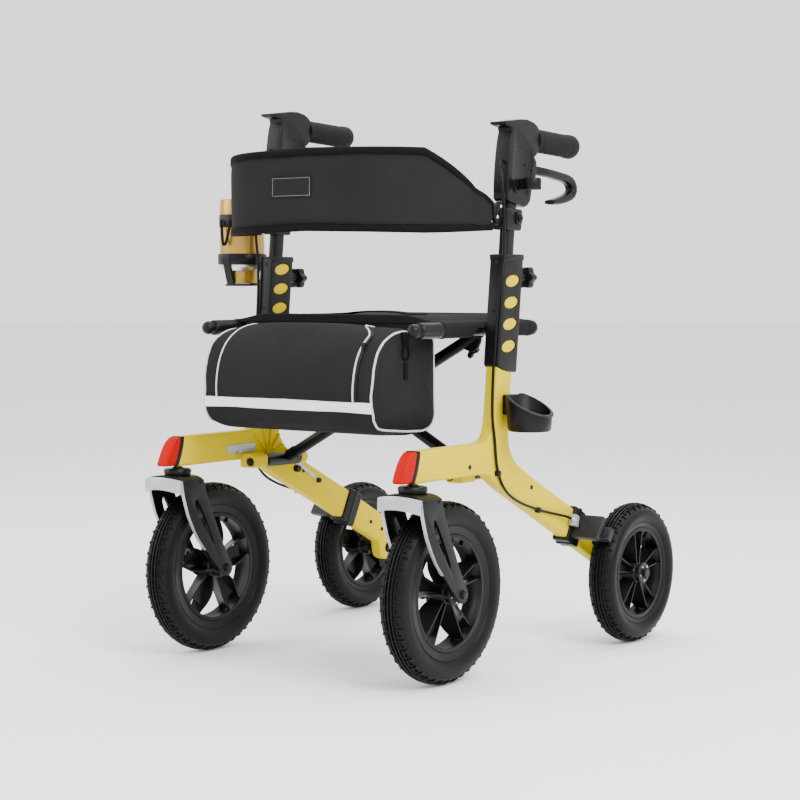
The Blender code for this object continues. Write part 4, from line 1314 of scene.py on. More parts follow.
        clamp = self.slab(rounded(around_arm(0.020, 0.0335), 0.004), 0.2412, 0.2748, 0.0022, 3)
        BENCH.cut(clamp, self.slab(around_arm(0.060, 0.0288), FRAME_X - FRAME_HALF - 0.0003,
                                   FRAME_X + FRAME_HALF + 0.0003))
        rib = self.slab(rounded(around_arm(0.0035, 0.0352), 0.001), 0.2404, 0.2758, 0.0010, 2)
        BENCH.cut(rib, self.slab(around_arm(0.060, 0.0288), FRAME_X - FRAME_HALF - 0.0003,
                                 FRAME_X + FRAME_HALF + 0.0003))
        gusset = self.slab(self.across_brake(0.1495, 0.1560, 0.0185), 0.2720, 0.2980, 0.001, 2)
        clamp = BENCH.join(clamp, rib, gusset)
        self.dress(
            clamp, self.name("brake_clamp"), self.body, self.finishes.plastic, "black_plastic",
            [self.name("brake_housing")],
        )
        plate = self.slab(self.across_brake(0.1555, 0.1665, 0.023), 0.2735, 0.3300, 0.0012, 3)
        self.dress(plate, self.name("brake_plate"), self.body, self.finishes.slate, "black_plastic")
        shoe = self.slab(self.across_brake(REAR_R + 0.0030, REAR_R + 0.0175, 0.012), 0.2990, 0.3400,
                         0.0010, 2)
        carrier = self.slab(self.across_brake(REAR_R + 0.0150, REAR_R + 0.0205, 0.009), 0.3050, 0.3340,
                            0.0010, 2)
        shoe = BENCH.join(shoe, carrier)
        self.dress(
            shoe, self.name("brake_pad"), self.name("shoe"), self.finishes.slate, "grip_rubber",
            [self.name("brake_shoe")],
        )
        start = Vector((self.x(0.2768), 0.0905, 0.2470))
        end = Vector((self.x(0.2846), 0.1205, 0.2355))
        run = (end - start).normalized()
        barrel = BENCH.rod(end - run * 0.014, end, 0.0036, 20)
        nut = BENCH.rod(end - run * 0.010, end - run * 0.006, 0.0050, 6, 0.0003)
        tab = self.slab([(0.112, 0.229), (0.124, 0.224), (0.128, 0.243), (0.116, 0.249)], 0.2740, 0.2880,
                        0.0012, 2)
        ferrule = BENCH.join(barrel, nut)
        self.dress(ferrule, self.name("cable_adjuster"), self.body, self.finishes.steel, "steel")
        self.dress(tab, self.name("cable_stop"), self.body, self.finishes.silver, "silver_trim")

    def cable(self) -> None:
        """Brake cable from the hood down the upright and along the rear arm."""
        rise = self.side.lift
        lean = LEAN * rise
        route = [
            (0.2605, -0.0905 + lean, 0.8755 + rise), (0.265, -0.101 + lean, 0.866 + rise),
            (0.271, -0.1065 + lean, 0.846 + rise), (0.2755, -0.1085, 0.815 + 0.3 * rise),
            (0.2768, -0.109, 0.785), (0.2765, -0.108, 0.745), (0.2745, -0.1055, 0.712),
            (0.2715, -0.1085, 0.680), (0.2690, -0.1125, 0.637), (0.2675, -0.1205, 0.560),
            (0.2675, -0.1262, 0.510), (0.2685, -0.1300, 0.465), (0.2715, -0.1335, 0.430),
            (0.2745, -0.1315, 0.400), (0.2745, -0.1250, 0.356), (0.2745, -0.1110, 0.325),
            (0.2745, -0.0880, 0.302), (0.2745, -0.0560, 0.286), (0.2745, -0.0200, 0.274),
            (0.2745, 0.0250, 0.262), (0.2755, 0.0700, 0.252), (0.2785, 0.0960, 0.2460),
            (0.2825, 0.1095, 0.2405),
        ]
        line = smooth_line([(self.x(x), y, z) for x, y, z in route], 6)
        cable = BENCH.pipe(line, 0.0025, sides=4)
        self.dress(
            cable, self.name("cable_run"), self.body, self.finishes.cable, "cable_black",
            [self.name("brake_cable")], 60, True,
        )
        self.body
        self.name("handle")
        self.x(0.2766) + ORIGIN.x
        self.x(0.2766) + ORIGIN.x
        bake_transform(cable)
        clips = []
        for y, z in ((-0.1205, 0.3405), (0.008, 0.2655)):
            clips.append(self.slab(rounded([(y - 0.005, z - 0.005), (y + 0.005, z - 0.005),
                                            (y + 0.005, z + 0.005),
                                            (y - 0.005, z + 0.005)], 0.003), 0.2700, 0.2785, 0.001, 2))
        clips_piece = BENCH.join(*clips)
        self.dress(clips_piece, self.name("cable_clips"), self.body, self.finishes.plastic, "black_plastic")

    def pins(self) -> None:
        """Pivot pin of the brace and the rear wheel's axle."""
        x = self.x(PIVOT_X)
        profile = [(-0.1945, 0), (-0.1945, 0.0055), (-0.1938, 0.0072), (-0.1903, 0.0080), (-0.1903, 0.004)]
        profile += [(-0.0357, 0.004), (-0.0357, 0.0080), (-0.0328, 0.0072), (-0.0320, 0.0055), (-0.0320, 0)]
        pin = BENCH.turn(profile, (x, 0, PIVOT_Z), (0, 1, 0), 32)
        self.dress(pin, self.name("pivot_pin"), self.body, self.finishes.dark_metal, "steel",
                   [self.name("hinge_pin")])
        inner = FRAME_X - FRAME_HALF - 0.0003
        outer = REAR_X + 0.0305
        bolt = [(inner - 0.004, 0), (inner - 0.004, 0.008), (inner - 0.0008, 0.0085),
                (inner - 0.0008, 0.0105)]
        bolt += [(inner, 0.0105), (inner, 0.006), (FRAME_X + FRAME_HALF + 0.0003, 0.006)]
        bolt += [(FRAME_X + FRAME_HALF + 0.0003, 0.011), (REAR_X - 0.0305, 0.011), (REAR_X - 0.0305, 0.006)]
        bolt += [(outer, 0.006), (outer, 0.0100), (outer + 0.0012, 0.0100), (outer + 0.003, 0.008),
                 (outer + 0.003, 0)]
        axle = BENCH.turn(bolt, (0, AXLE_Y, REAR_R), (self.side.value, 0, 0), 40)
        self.dress(
            axle, self.name("axle_bolt"), self.body, self.finishes.dark_metal, "steel", [self.name("rear_axle")]
        )


# ---------------------------------------------------------------- handles


@dataclass
class Handle(Assembly):
    """Height tube, hood, grip and looped brake lever of one side."""

    finishes: Finishes
    side: Side

    @property
    def body(self) -> str:
        """Body that slides in the upright."""
        return f"{self.side.label}_handle"

    def name(self, part: str) -> str:
        """Piece name on this side."""
        return f"{self.side.label}_{part}"

    def x(self, value: float) -> float:
        """A distance outwards from the middle plane."""
        return self.side.value * value

    def slab(self, outline: Sequence[Flat], inner: float, outer: float, edge: float = 0.0,
             steps: int = 3) -> Any:
        """An outline in Y and Z extruded across this side."""
        low, high = sorted((self.x(inner), self.x(outer)))
        return BENCH.plate(outline, low, high, "X", edge, steps, 30)

    def raised(self, outline: Sequence[Flat]) -> list[Flat]:
        """Move an outline to the height that this side's handle is set to."""
        lift = self.side.lift
        return [(y + LEAN * lift, z + lift) for y, z in outline]

    def build(self) -> None:
        """Model the handle from the tube up."""
        self.tube()
        self.collar()
        self.hood()
        self.grip()
        self.lever()
        self.knob()

    def tube(self) -> None:
        """Flat oval tube that slides in the upright."""
        low, high, half = 0.500 + self.side.lift, 0.828 + self.side.lift, 0.0135
        rows = []
        for height in (low, (low + high) / 2, high):
            ring = []
            for step in range(40):
                turn = math.tau * step / 40
                power = 0.45
                across = math.copysign(abs(math.cos(turn)) ** power, math.cos(turn)) * 0.009
                along = math.copysign(abs(math.sin(turn)) ** power, math.sin(turn)) * half
                ring.append((self.x(FRAME_X) + across, upright_y(height) + along, height))
            rows.append(ring)
        tube = skin_rows(rows)
        self.dress(
            tube, self.name("height_tube"), self.body, self.finishes.dark_metal, "black_metal",
            [self.name("handle_tube")], 40,
        )
        marks = []
        for step in range(5):
            height = 0.735 + 0.020 * step + self.side.lift
            if height < 0.800:
                continue
            marks.append(BENCH.rod(
                (self.x(FRAME_X + 0.0082), upright_y(height) + 0.006, height),
                (self.x(FRAME_X + 0.0094), upright_y(height) + 0.006, height), 0.0022, 20, 0.0003,
            ))
        marks_piece = BENCH.join(*marks)
        self.dress(marks_piece, self.name("height_marks"), self.body, self.finishes.slate, "black_plastic")

    def collar(self) -> None:
        """Clamp with the round plate of the backrest and its cross bolt."""
        outline = rounded([(-0.094, 0.757), (-0.046, 0.755), (-0.042, 0.792), (-0.090, 0.795)], 0.005)
        clamp = self.slab(outline, 0.2435, 0.2725, 0.0025, 3)
        disc = self.slab(arc((-0.097, 0.784), 0.020, 0, 360, 56)[:-1], 0.2545, 0.2625, 0.0012, 3)
        rim = self.slab(arc((-0.097, 0.784), 0.0145, 0, 360, 48)[:-1], 0.2535, 0.2638, 0.0008, 3)
        ears = self.slab(rounded([(-0.066, 0.766), (-0.048, 0.766), (-0.048, 0.788), (-0.066, 0.788)], 0.005),
                         0.2715, 0.2755, 0.0012, 2)
        clamp = BENCH.join(clamp, disc, rim, ears)
        self.dress(
            clamp, self.name("backrest_clamp"), self.body, self.finishes.plastic, "black_plastic",
            [self.name("backrest_collar")],
        )
        bolt = BENCH.rod((self.x(0.2740), -0.0570, 0.777), (self.x(0.2790), -0.0570, 0.777), 0.0062, 32)
        slot = BENCH.rod((self.x(0.2780), -0.0570, 0.777), (self.x(0.2800), -0.0570, 0.777), 0.0030, 6,
                         0.0003)
        pivot = BENCH.rod((self.x(0.2630), -0.097, 0.784), (self.x(0.2655), -0.097, 0.784), 0.0068, 32)
        bolts = BENCH.join(bolt, slot, pivot)
        self.dress(bolts, self.name("clamp_bolts"), self.body, self.finishes.dark_metal, "black_metal")

    def hood(self) -> None:
        """Hood with its forward beak, side recess and screws."""
        outline = [(-0.0990, 0.9395), (-0.0985, 0.9350), (-0.0900, 0.9330), (-0.0790, 0.9312),
                   (-0.0765, 0.9250)]
        outline += [(-0.0800, 0.9150), (-0.0835, 0.9010), (-0.0870, 0.8800), (-0.0900, 0.8580),
                    (-0.0918, 0.8300)]
        outline += [(-0.0920, 0.8110), (-0.0885, 0.8065), (-0.0840, 0.8050), (-0.0600, 0.8005),
                    (-0.0380, 0.7960)]
        outline += [(-0.0260, 0.8000), (-0.0180, 0.8080), (-0.0145, 0.8220), (-0.0120, 0.8360),
                    (-0.0060, 0.8420)]
        outline += [(-0.0010, 0.8470), (0.0015, 0.8600), (0.0025, 0.8760), (-0.0020, 0.8810),
                    (-0.0045, 0.8840)]
        outline += [(0.0030, 0.8890), (0.0080, 0.8940), (0.0095, 0.9000), (0.0095, 0.9340), (0.0030, 0.9395)]
        outline += [(-0.0080, 0.9445), (-0.0280, 0.9480), (-0.0500, 0.9470), (-0.0700, 0.9440),
                    (-0.0880, 0.9415)]
        hood = self.slab(self.raised(outline), 0.2430, 0.2730)
        BENCH.soften(hood, 0.0095, 5, 60)
        slot = self.raised([(-0.028, 0.840), (0.030, 0.840), (0.030, 0.8835), (-0.028, 0.8835)])
        BENCH.cut(hood, self.slab(slot, FRAME_X - 0.0063, FRAME_X + 0.0063))
        recess = rounded(
            [(-0.077, 0.822), (-0.031, 0.816), (-0.024, 0.846), (-0.012, 0.858), (-0.014, 0.892),
             (-0.066, 0.902)], 0.010
        )
        for inner, outer in ((0.2718, 0.2800), (0.2360, 0.2442)):
            BENCH.cut(hood, self.slab(self.raised(recess), inner, outer))
        BENCH.soften(hood, 0.0012, 2, 50)
        beak = self.raised([(-0.0995, 0.9405), (-0.0995, 0.9360), (-0.0790, 0.9330), (-0.0560, 0.9400),
                            (-0.0700, 0.9425)])
        tip = self.slab(rounded(beak, 0.002), 0.2418, 0.2742, 0.0016, 3)
        hood = BENCH.join(hood, tip)
        self.dress(
            hood, self.name("handle_hood"), self.body, self.finishes.plastic, "black_plastic",
            [self.name("handle_housing")], 40,
        )
        screws = []
        for y, z, radius in ((-0.063, 0.826, 0.0045), (-0.033, 0.869, 0.0026), (-0.010, 0.862, 0.0050)):
            ((y, z),) = self.raised([(y, z)])
            screws.append(BENCH.rod((self.x(0.2705), y, z), (self.x(0.2735), y, z), radius, 24, 0.0005))
            screws.append(BENCH.rod((self.x(0.2455), y, z), (self.x(0.2425), y, z), radius, 24, 0.0005))
        screws_piece = BENCH.join(*screws)
        self.dress(screws_piece, self.name("hood_screws"), self.body, self.finishes.dark_metal, "black_metal")

    def grip(self) -> None:
        """Ribbed grip with a rolled collar and a rounded end."""
        lift = self.side.lift
        start = Vector((self.x(FRAME_X), 0.0106 + LEAN * lift, 0.915 + lift))
        run = Vector((0, 0.148, -0.006)).normalized()
        profile = [(0, 0), (0, 0.0178), (0.0012, 0.0192), (0.0040, 0.0204), (0.0075, 0.0204),
                   (0.0092, 0.0192)]
        place = 0.0110
        while place < 0.102:
            profile += [(place, 0.0190), (place + 0.0012, 0.0203), (place + 0.0048, 0.0204),
                        (place + 0.0058, 0.0193)]
            place += 0.0066
        profile += [(0.1055, 0.0196), (0.1080, 0.0210), (0.1140, 0.0215), (0.1230, 0.0215), (0.1270, 0.0200)]
        profile += [(0.1295, 0.0165), (0.1308, 0.0110), (0.1310, 0)]
        grip = BENCH.turn(profile, start, run, 56)
        self.dress(
            grip, self.name("ribbed_grip"), self.body, self.finishes.grip, "grip_rubber", [self.name("hand_grip")], 30
        )

    def lever(self) -> None:
        """Looped lever with a thumb pad inlay."""
        line = [(-0.010, 0.862), (0.004, 0.863), (0.022, 0.8625), (0.040, 0.861), (0.062, 0.8595),
                (0.085, 0.857)]
        line += [(0.104, 0.855), (0.118, 0.853), (0.129, 0.8500), (0.1365, 0.8450), (0.1410, 0.8385),
                 (0.1415, 0.8320)]
        line += [(0.1375, 0.8255), (0.1290, 0.8205), (0.112, 0.8155), (0.098, 0.8125), (0.088, 0.811),
                 (0.077, 0.8095)]
        line += [(0.068, 0.809)]
        widths = [0.009, 0.0082, 0.0078, 0.0075, 0.0072, 0.0075, 0.0075, 0.0075, 0.0078, 0.0080, 0.0082,
                  0.0082]
        widths += [0.0080, 0.0075, 0.0070, 0.0064, 0.0060, 0.0052, 0.0038]
        rows = []
        for index, half in enumerate(widths):
            before = Vector(line[max(index - 1, 0)])
            after = Vector(line[min(index + 1, len(line) - 1)])
            along = (after - before).normalized()
            side = Vector((-along.y, along.x))
            width = 0.0052 if index < 3 else 0.0105
            ring = []
            for step in range(20):
                turn = math.tau * step / 20
                across = math.copysign(abs(math.cos(turn)) ** 0.6, math.cos(turn)) * width
                out = math.copysign(abs(math.sin(turn)) ** 0.6, math.sin(turn)) * half
                (place,) = self.raised([tuple(Vector(line[index]) + side * out)])
                ring.append((self.x(FRAME_X) + across, *place))
            rows.append(ring)
        lever = skin_rows(rows)
        self.dress(
            lever, self.name("lever_loop"), self.name("lever"), self.finishes.plastic, "black_plastic",
            [self.name("brake_lever")], 50,
        )
        inset_line = [(0.048, 0.8603), (0.070, 0.8585), (0.090, 0.8565), (0.108, 0.8545)]
        inset = self.slab(self.raised(strip(inset_line, [0.0022, 0.0032, 0.0032, 0.0022])), 0.2488, 0.2672,
                          0.0004, 2)
        self.dress(inset, self.name("lever_inlay"), self.name("lever"), self.finishes.slate, "black_plastic")

    def knob(self) -> None:
        """Six-lobed clamping knob with its screw."""
        place = (self.x(FRAME_X), 0.675)
        star = []
        for step in range(72):
            turn = math.tau * step / 72
            radius = 0.0183 + 0.0021 * math.cos(6 * turn)
            star.append((place[0] + radius * math.cos(turn), place[1] + radius * math.sin(turn)))
        head = BENCH.plate(star, -0.0186, -0.0032, "Y", 0.0018, 3, 50)
        dome = BENCH.turn(
            [(0.0150, 0), (0.0150, 0.0105), (0.0160, 0.0100), (0.0166, 0.0070), (0.0168, 0)],
            (place[0], -0.019, place[1]), (0, 1, 0), 32,
        )
        neck = BENCH.rod((place[0], -0.0225, place[1]), (place[0], -0.0170, place[1]), 0.0075, 32)
        knob = BENCH.join(head, dome, neck)
        body = self.name("knob")
        self.dress(
            knob, self.name("star_knob"), body, self.finishes.plastic, "black_plastic", [self.name("height_knob")]
        )
        start = upright_y(0.675) + UPRIGHT_HALF + 0.0008
        screw = BENCH.rod((place[0], start, place[1]), (place[0], -0.020, place[1]), 0.0040, 24)
        self.dress(screw, self.name("knob_screw"), body, self.finishes.steel, "steel")


# ---------------------------------------------------------------- brace and seat


BRACE_Y = {Side.LEFT: -0.116, Side.RIGHT: -0.090}
CROSS_Z = PIVOT_Z + (RAIL_Z - PIVOT_Z) * PIVOT_X / (PIVOT_X + RAIL_X)
RAIL_R = 0.0115
LATCH = (0.201, 0.5505)


@dataclass
class Brace(Assembly):
    """One arm of the cross brace with the opposite side's seat rail and latch."""

    finishes: Finishes
    foot: Side

    @property
    def body(self) -> str:
        """Body of the arm."""
        return f"brace_{self.foot.label}_foot"

    @property
    def top(self) -> Side:
        """Side that the rail is on."""
        return Side.RIGHT if self.foot is Side.LEFT else Side.LEFT

    def build(self) -> None:
        """Model arm, rail, end ball and latch."""
        self.arm()
        self.rail()
        self.latch()
        if self.foot is Side.LEFT:
            self.bolt()

    def arm(self) -> None:
        """Tube from the lower pivot to the rail, with its foot sleeve and gusset."""
        sign = self.foot.value
        y = BRACE_Y[self.foot]
        foot = Vector((sign * PIVOT_X, y, PIVOT_Z))
        top = Vector((-sign * RAIL_X, y, RAIL_Z))
        run = (top - foot).normalized()
        tube = BENCH.rod(foot + run * 0.004, top - run * 0.0125, 0.0105, 40)
        sleeve = BENCH.rod((foot.x, -0.150, foot.z), (foot.x, -0.055, foot.z), 0.0120, 40)
        web = rounded([(0.172, 0.562), (0.186, 0.549), (0.201, 0.5455), (0.212, 0.552), (0.218, 0.564),
                       (0.218, 0.5735), (0.205, 0.576)], 0.004)
        gusset = BENCH.plate([(-sign * first, second) for first, second in web], y - 0.003, y + 0.003, "Y",
                             0.0008, 2)
        middle = foot.lerp(top, PIVOT_X / (PIVOT_X + RAIL_X))
        wrap = BENCH.rod(middle - run * 0.016, middle + run * 0.016, 0.0122, 40)
        collars = [BENCH.rod(foot + run * 0.012, foot + run * 0.030, 0.0122, 40, 0.001)]
        arm = BENCH.join(tube, sleeve, gusset, wrap, *collars)
        self.dress(
            arm, f"brace_tube_{self.foot.label}_foot", self.body, self.finishes.dark_metal, "black_metal",
            [f"cross_brace_{self.foot.label}_foot"],
        )

    def rail(self) -> None:
        """Seat rail with a rear cap and a front ball."""
        sign = self.top.value
        profile = [(-0.2283, 0), (-0.2283, RAIL_R), (0.0500, RAIL_R), (0.0502, 0.0128), (0.0512, 0.0135)]
        profile += [(0.0595, 0.0135), (0.0612, 0.0125), (0.0620, 0.0105), (0.0620, 0)]
        rail = BENCH.turn(profile, (sign * RAIL_X, 0, RAIL_Z), (0, 1, 0), 48)
        label = self.top.label
        self.dress(
            rail, f"{label}_rail_tube", self.body, self.finishes.dark_metal, "black_metal", [f"{label}_seat_rail"]
        )
        ball = [(-0.2286, 0), (-0.2286, 0.0125), (-0.2298, 0.0135), (-0.2400, 0.0135), (-0.2406, 0.0128)]
        ball += [(-0.2412, 0.0128), (-0.2418, 0.0135), (-0.2850, 0.0135), (-0.2872, 0.0120),
                 (-0.2890, 0.0088)]
        ball += [(along, radius) for along, radius in arc((-0.298, 0), 0.012, 40, 176, 14)]
        ball = [(along, radius) for along, radius in ball] + [(-0.3100, 0)]
        end = BENCH.turn(ball, (sign * RAIL_X, 0, RAIL_Z), (0, 1, 0), 48)
        self.dress(
            end, f"{label}_rail_ball", self.body, self.finishes.plastic, "black_plastic", [f"{label}_rail_knob"], 30
        )

    def latch(self) -> None:
        """Sprung hook under the rail."""
        sign = self.top.value
        y = BRACE_Y[self.foot]
        outline = arc(LATCH, 0.0075, -20, 160, 14)
        outline += [(0.188, 0.5445), (0.186, 0.5385), (0.191, 0.5335), (0.195, 0.5365), (0.198, 0.5415),
                    (0.206, 0.5445)]
        flat = [(sign * first, second) for first, second in outline]
        hook = BENCH.plate(flat, y + 0.0033, y + 0.0105, "Y", 0.0008, 2)
        label = self.top.label
        self.dress(
            hook, f"{label}_latch_hook", f"{label}_latch", self.finishes.plastic, "black_plastic",
            [f"{label}_seat_latch"],
        )
        x = sign * LATCH[0]
        pin = BENCH.rod((x, y + 0.003, LATCH[1]), (x, y + 0.0118, LATCH[1]), 0.0030, 24)
        self.dress(pin, f"{label}_latch_pin", self.body, self.finishes.steel, "steel")

    def bolt(self) -> None:
        """Bolt at the crossing of the arms."""
        profile = [(-0.1335, 0), (-0.1335, 0.0072), (-0.1322, 0.0085), (-0.1290, 0.0098), (-0.1275, 0.0100)]
        profile += [(-0.1275, 0.006), (-0.0785, 0.006), (-0.0785, 0.0100), (-0.0768, 0.0098),
                    (-0.0738, 0.0085)]
        profile += [(-0.0725, 0.0072), (-0.0725, 0)]
        bolt = BENCH.turn(profile, (0, 0, CROSS_Z), (0, 1, 0), 40)
        self.dress(bolt, "crossing_bolt", self.body, self.finishes.steel, "steel", ["cross_pivot_bolt"])


# ---------------------------------------------------------------- soft goods


class Tailor(Assembly):
    """Cloth steps shared by the soft pieces."""

    def inflate(self, obj: Any, grid: float, pressure: float, cap: float) -> Any:
        """Puff a closed shape by cloth simulation, never moving a point further than the cap.

        Args:
            obj: closed mesh.
            grid: size of the remeshed faces.
            pressure: pressure inside.
            cap: furthest that a point may move.

        Returns:
            The puffed shape.
        """
        mesher = obj.modifiers.new("grid", "REMESH")
        mesher.mode = "VOXEL"
        mesher.voxel_size = grid
        BENCH.apply(obj, mesher.name)
        rest = [vertex.co.copy() for vertex in obj.data.vertices]
        cloth = obj.modifiers.new("cloth", "CLOTH")
        cloth.settings.quality = 5
        cloth.settings.mass = 0.3
        cloth.settings.tension_stiffness = 40
        cloth.settings.compression_stiffness = 12
        cloth.settings.bending_stiffness = 1.0
        cloth.settings.use_pressure = True
        cloth.settings.uniform_pressure_force = pressure
        cloth.settings.effector_weights.gravity = 0
        cloth.point_cache.frame_start = 1
        cloth.point_cache.frame_end = 20
        scene = bpy.context.scene
        for frame_number in range(1, 21):
            scene.frame_set(frame_number)
        BENCH.apply(obj, cloth.name)
        scene.frame_set(1)
        for vertex, place in zip(obj.data.vertices, rest):
            move = vertex.co - place
            if move.length > cap:
                vertex.co = place + move.normalized() * cap
        smooth = obj.modifiers.new("ease", "SMOOTH")
        smooth.factor = 0.5
        smooth.iterations = 3
        BENCH.apply(obj, smooth.name)
        return obj

    def refine(self, obj: Any) -> Any:
        """Add one applied subdivision."""
        finer = obj.modifiers.new("finer", "SUBSURF")
        finer.levels = 1
        finer.render_levels = 1
        BENCH.apply(obj, finer.name)
        return obj

    def laid(self, surface: Any, points: Iterable[Sequence[float]], lift: float) -> list[Vector]:
        """Move points to the nearest place on a surface, raised along its normal."""
        found = []
        for point in points:
            hit, place, normal, _ = surface.closest_point_on_mesh(Vector(point))
            found.append(place + normal * lift if hit else Vector(point))
        return found

    def stitches(self, path: Sequence[Vector], spacing: float = 0.0042, size: float = 0.00045) -> Any:
        """A run of small thread stitches along a path.

        Args:
            path: points of the run.
            spacing: distance from stitch to stitch.
            size: half thickness of the thread.

        Returns:
            The joined stitches.
        """
        corners: list[Vector] = []
        faces: list[tuple[int, ...]] = []
        travelled = 0.0
        for start, end in zip(path, path[1:]):
            run = end - start
            if run.length < 1e-6:
                continue
            along = run.normalized()
            side = along.cross(Vector((0.31, 0.52, 0.8))).normalized() * size
            up = along.cross(side).normalized() * size
            place = spacing - travelled % spacing
            while place < run.length:
                middle = start + along * place
                first = len(corners)
                long = along * spacing * 0.34
                corners += [middle - long, middle + side, middle + up, middle - side, middle - up,
                            middle + long]
                for one, two in ((1, 2), (2, 3), (3, 4), (4, 1)):
                    faces.append((first, first + two, first + one))
                    faces.append((first + 5, first + one, first + two))
                place += spacing
            travelled += run.length
        obj = BENCH.loop([(0, 0, 0), (1, 0, 0), (0, 1, 0)], False)
        obj.data.clear_geometry()
        obj.data.from_pydata(corners, [], faces)
        BENCH.edit(obj)
        bpy.ops.mesh.normals_make_consistent(inside=False)
        BENCH.fresh()
        return obj

    def patch(self, rows: Sequence[Sequence[Vector]], thickness: float) -> Any:
        """A thin panel through a grid of points.

        Args:
            rows: rows of equal length.
            thickness: cloth thickness.

        Returns:
            The panel.
        """
        width = len(rows[0])
        obj = BENCH.loop([(0, 0, 0), (1, 0, 0), (0, 1, 0)], False)
        obj.data.clear_geometry()
        corners = [point for row in rows for point in row]
        faces = []
        for row in range(len(rows) - 1):
            for column in range(width - 1):
                here = row * width + column
                faces.append((here, here + 1, here + width + 1, here + width))
        obj.data.from_pydata(corners, [], faces)
        thick = obj.modifiers.new("cloth", "SOLIDIFY")
        thick.thickness = thickness
        thick.offset = 0.0
        BENCH.apply(obj, thick.name)
        BENCH.edit(obj)
        bpy.ops.mesh.normals_make_consistent(inside=False)
        BENCH.fresh()
        return obj


class Seat(Tailor):
    """Sling seat between the rails, with its hems and lifting strap."""

    wrap: float = 0.0138
    front: float = -0.2280
    rear: float = 0.0500

    def build(self) -> None:
        """Model the sling, its stitching and strap."""
        sling = self.sling()
        self.squashed(sling, "sling_panel", self.finishes.seat_cloth, ["seat_sling"])
        self.squash(sling)
        self.trims()

    def squash(self, obj: Any) -> None:
        """Give a piece its own copy of its mesh."""
        ORIGIN.x - RAIL_X
        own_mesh(obj)

    def squashed(self, obj: Any, name: str, finish: Any, replaces: Sequence[str] = ()) -> None:
        """Dress a piece of the seat."""
        self.dress(obj, name, "seat", finish, "fabric_grey", replaces, 45)

    def height(self, x: float, y: float) -> float:
        """Top of the seat: tight over the rails, slack between them."""
        across = min(abs(x) / RAIL_X, 1.0)
        along = (y - self.front) / (self.rear - self.front)
        slack = 0.0020 * (1 - across**2) * math.sin(math.pi * min(max(along, 0.0), 1.0))
        share = min(max((abs(x) - 0.150) / (RAIL_X - 0.150), 0.0), 1.0)
        return RAIL_Z + self.wrap + 0.0110 * (1 - share * share * (3 - 2 * share)) - slack

    def sling(self) -> Any:
        """Closed panel that wraps both rails."""
        rows = []
        places = [self.front, self.front + 0.002, self.front + 0.010, self.front + 0.013]
        places += [self.front + 0.02 + 0.0115 * step for step in range(21)]
        places += [self.rear - 0.013, self.rear - 0.010, self.rear - 0.002, self.rear]
        for y in sorted(places):
            hem = 0.0008 if y < self.front + 0.0115 or y > self.rear - 0.0115 else 0.0
            if y in (self.front, self.rear):
                hem = -0.0006
            ring: list[Point] = []
            steps = 40
            for step in range(steps + 1):
                x = -RAIL_X + 2 * RAIL_X * step / steps
                ring.append((x, y, self.height(x, y) + hem))
            open_below = -0.137 < y < -0.069
            turns = [math.radians(80 - 300 * step / 20) for step in range(21)]
            right = [(RAIL_X + (self.wrap + hem) * math.cos(turn),
                      RAIL_Z + (self.wrap + hem) * math.sin(turn))
                     for turn in turns]
            if open_below:
                right = [(x, max(z, RAIL_Z + 0.0028)) for x, z in right]
            ring += [(x, y, z) for x, z in right]
            under = [0.198, 0.16, 0.08, 0.0, -0.08, -0.16, -0.198]
            ring += [(x, y, RAIL_Z + self.wrap - 0.0030 - hem) for x in under]
            ring += [(-x, y, z) for x, z in reversed(right)]
            rows.append(ring)
        return skin_rows(rows)

    def trims(self) -> None:
        """Stitch lines, the front flap and the pull strap."""
        runs = []
        for y in (self.front + 0.0085, self.rear - 0.0085, self.front + 0.034, self.rear - 0.034):
            line = [Vector((x, y, self.height(x, y) + 0.0007)) for x in
                    [-0.205 + 0.410 * step / 40 for step in range(41)]]
            runs.append(self.stitches(line))
        for x in (-0.198, 0.198, -0.120, 0.120):
            line = [Vector((x, y, self.height(x, y) + 0.0005)) for y in
                    [self.front + 0.012 + 0.250 * step / 30 for step in range(31)]]
            runs.append(self.stitches(line))
        thread = BENCH.join(*runs)
        self.squashed(thread, "seat_stitching", self.finishes.cloth)
        self.squash(thread)
        low = (-0.200, self.front + 0.0015, 0.5800)
        flap = BENCH.block(low, (0.200, self.front + 0.0045, RAIL_Z + self.wrap - 0.0020), 0.0006, 2)
        self.squashed(flap, "front_flap", self.finishes.seat_cloth)
        self.squash(flap)
        rows = []
        for step in range(25):
            share = step / 24
            x = -0.075 + 0.150 * share
            rise = 0.0060 * math.sin(math.pi * share) ** 0.8 + 0.0016
            base = self.height(x, -0.090) + rise
            rows.append([(x, -0.108, base - 0.001), (x, -0.106, base), (x, -0.078, base),
                         (x, -0.076, base - 0.001),
                         (x, -0.078, base - 0.0022), (x, -0.106, base - 0.0022)])
        strap = skin_rows(rows)
        boxes = []
        for sign in (-1, 1):
            x = sign * 0.083
            top = self.height(x, -0.092)
            boxes.append(BENCH.block((x - 0.013, -0.107, top - 0.001), (x + 0.013, -0.077, top + 0.0022),
                                     0.0008, 2))
        strap = BENCH.join(strap, *boxes)
        self.squashed(strap, "pull_strap", self.finishes.binding)
        self.squash(strap)


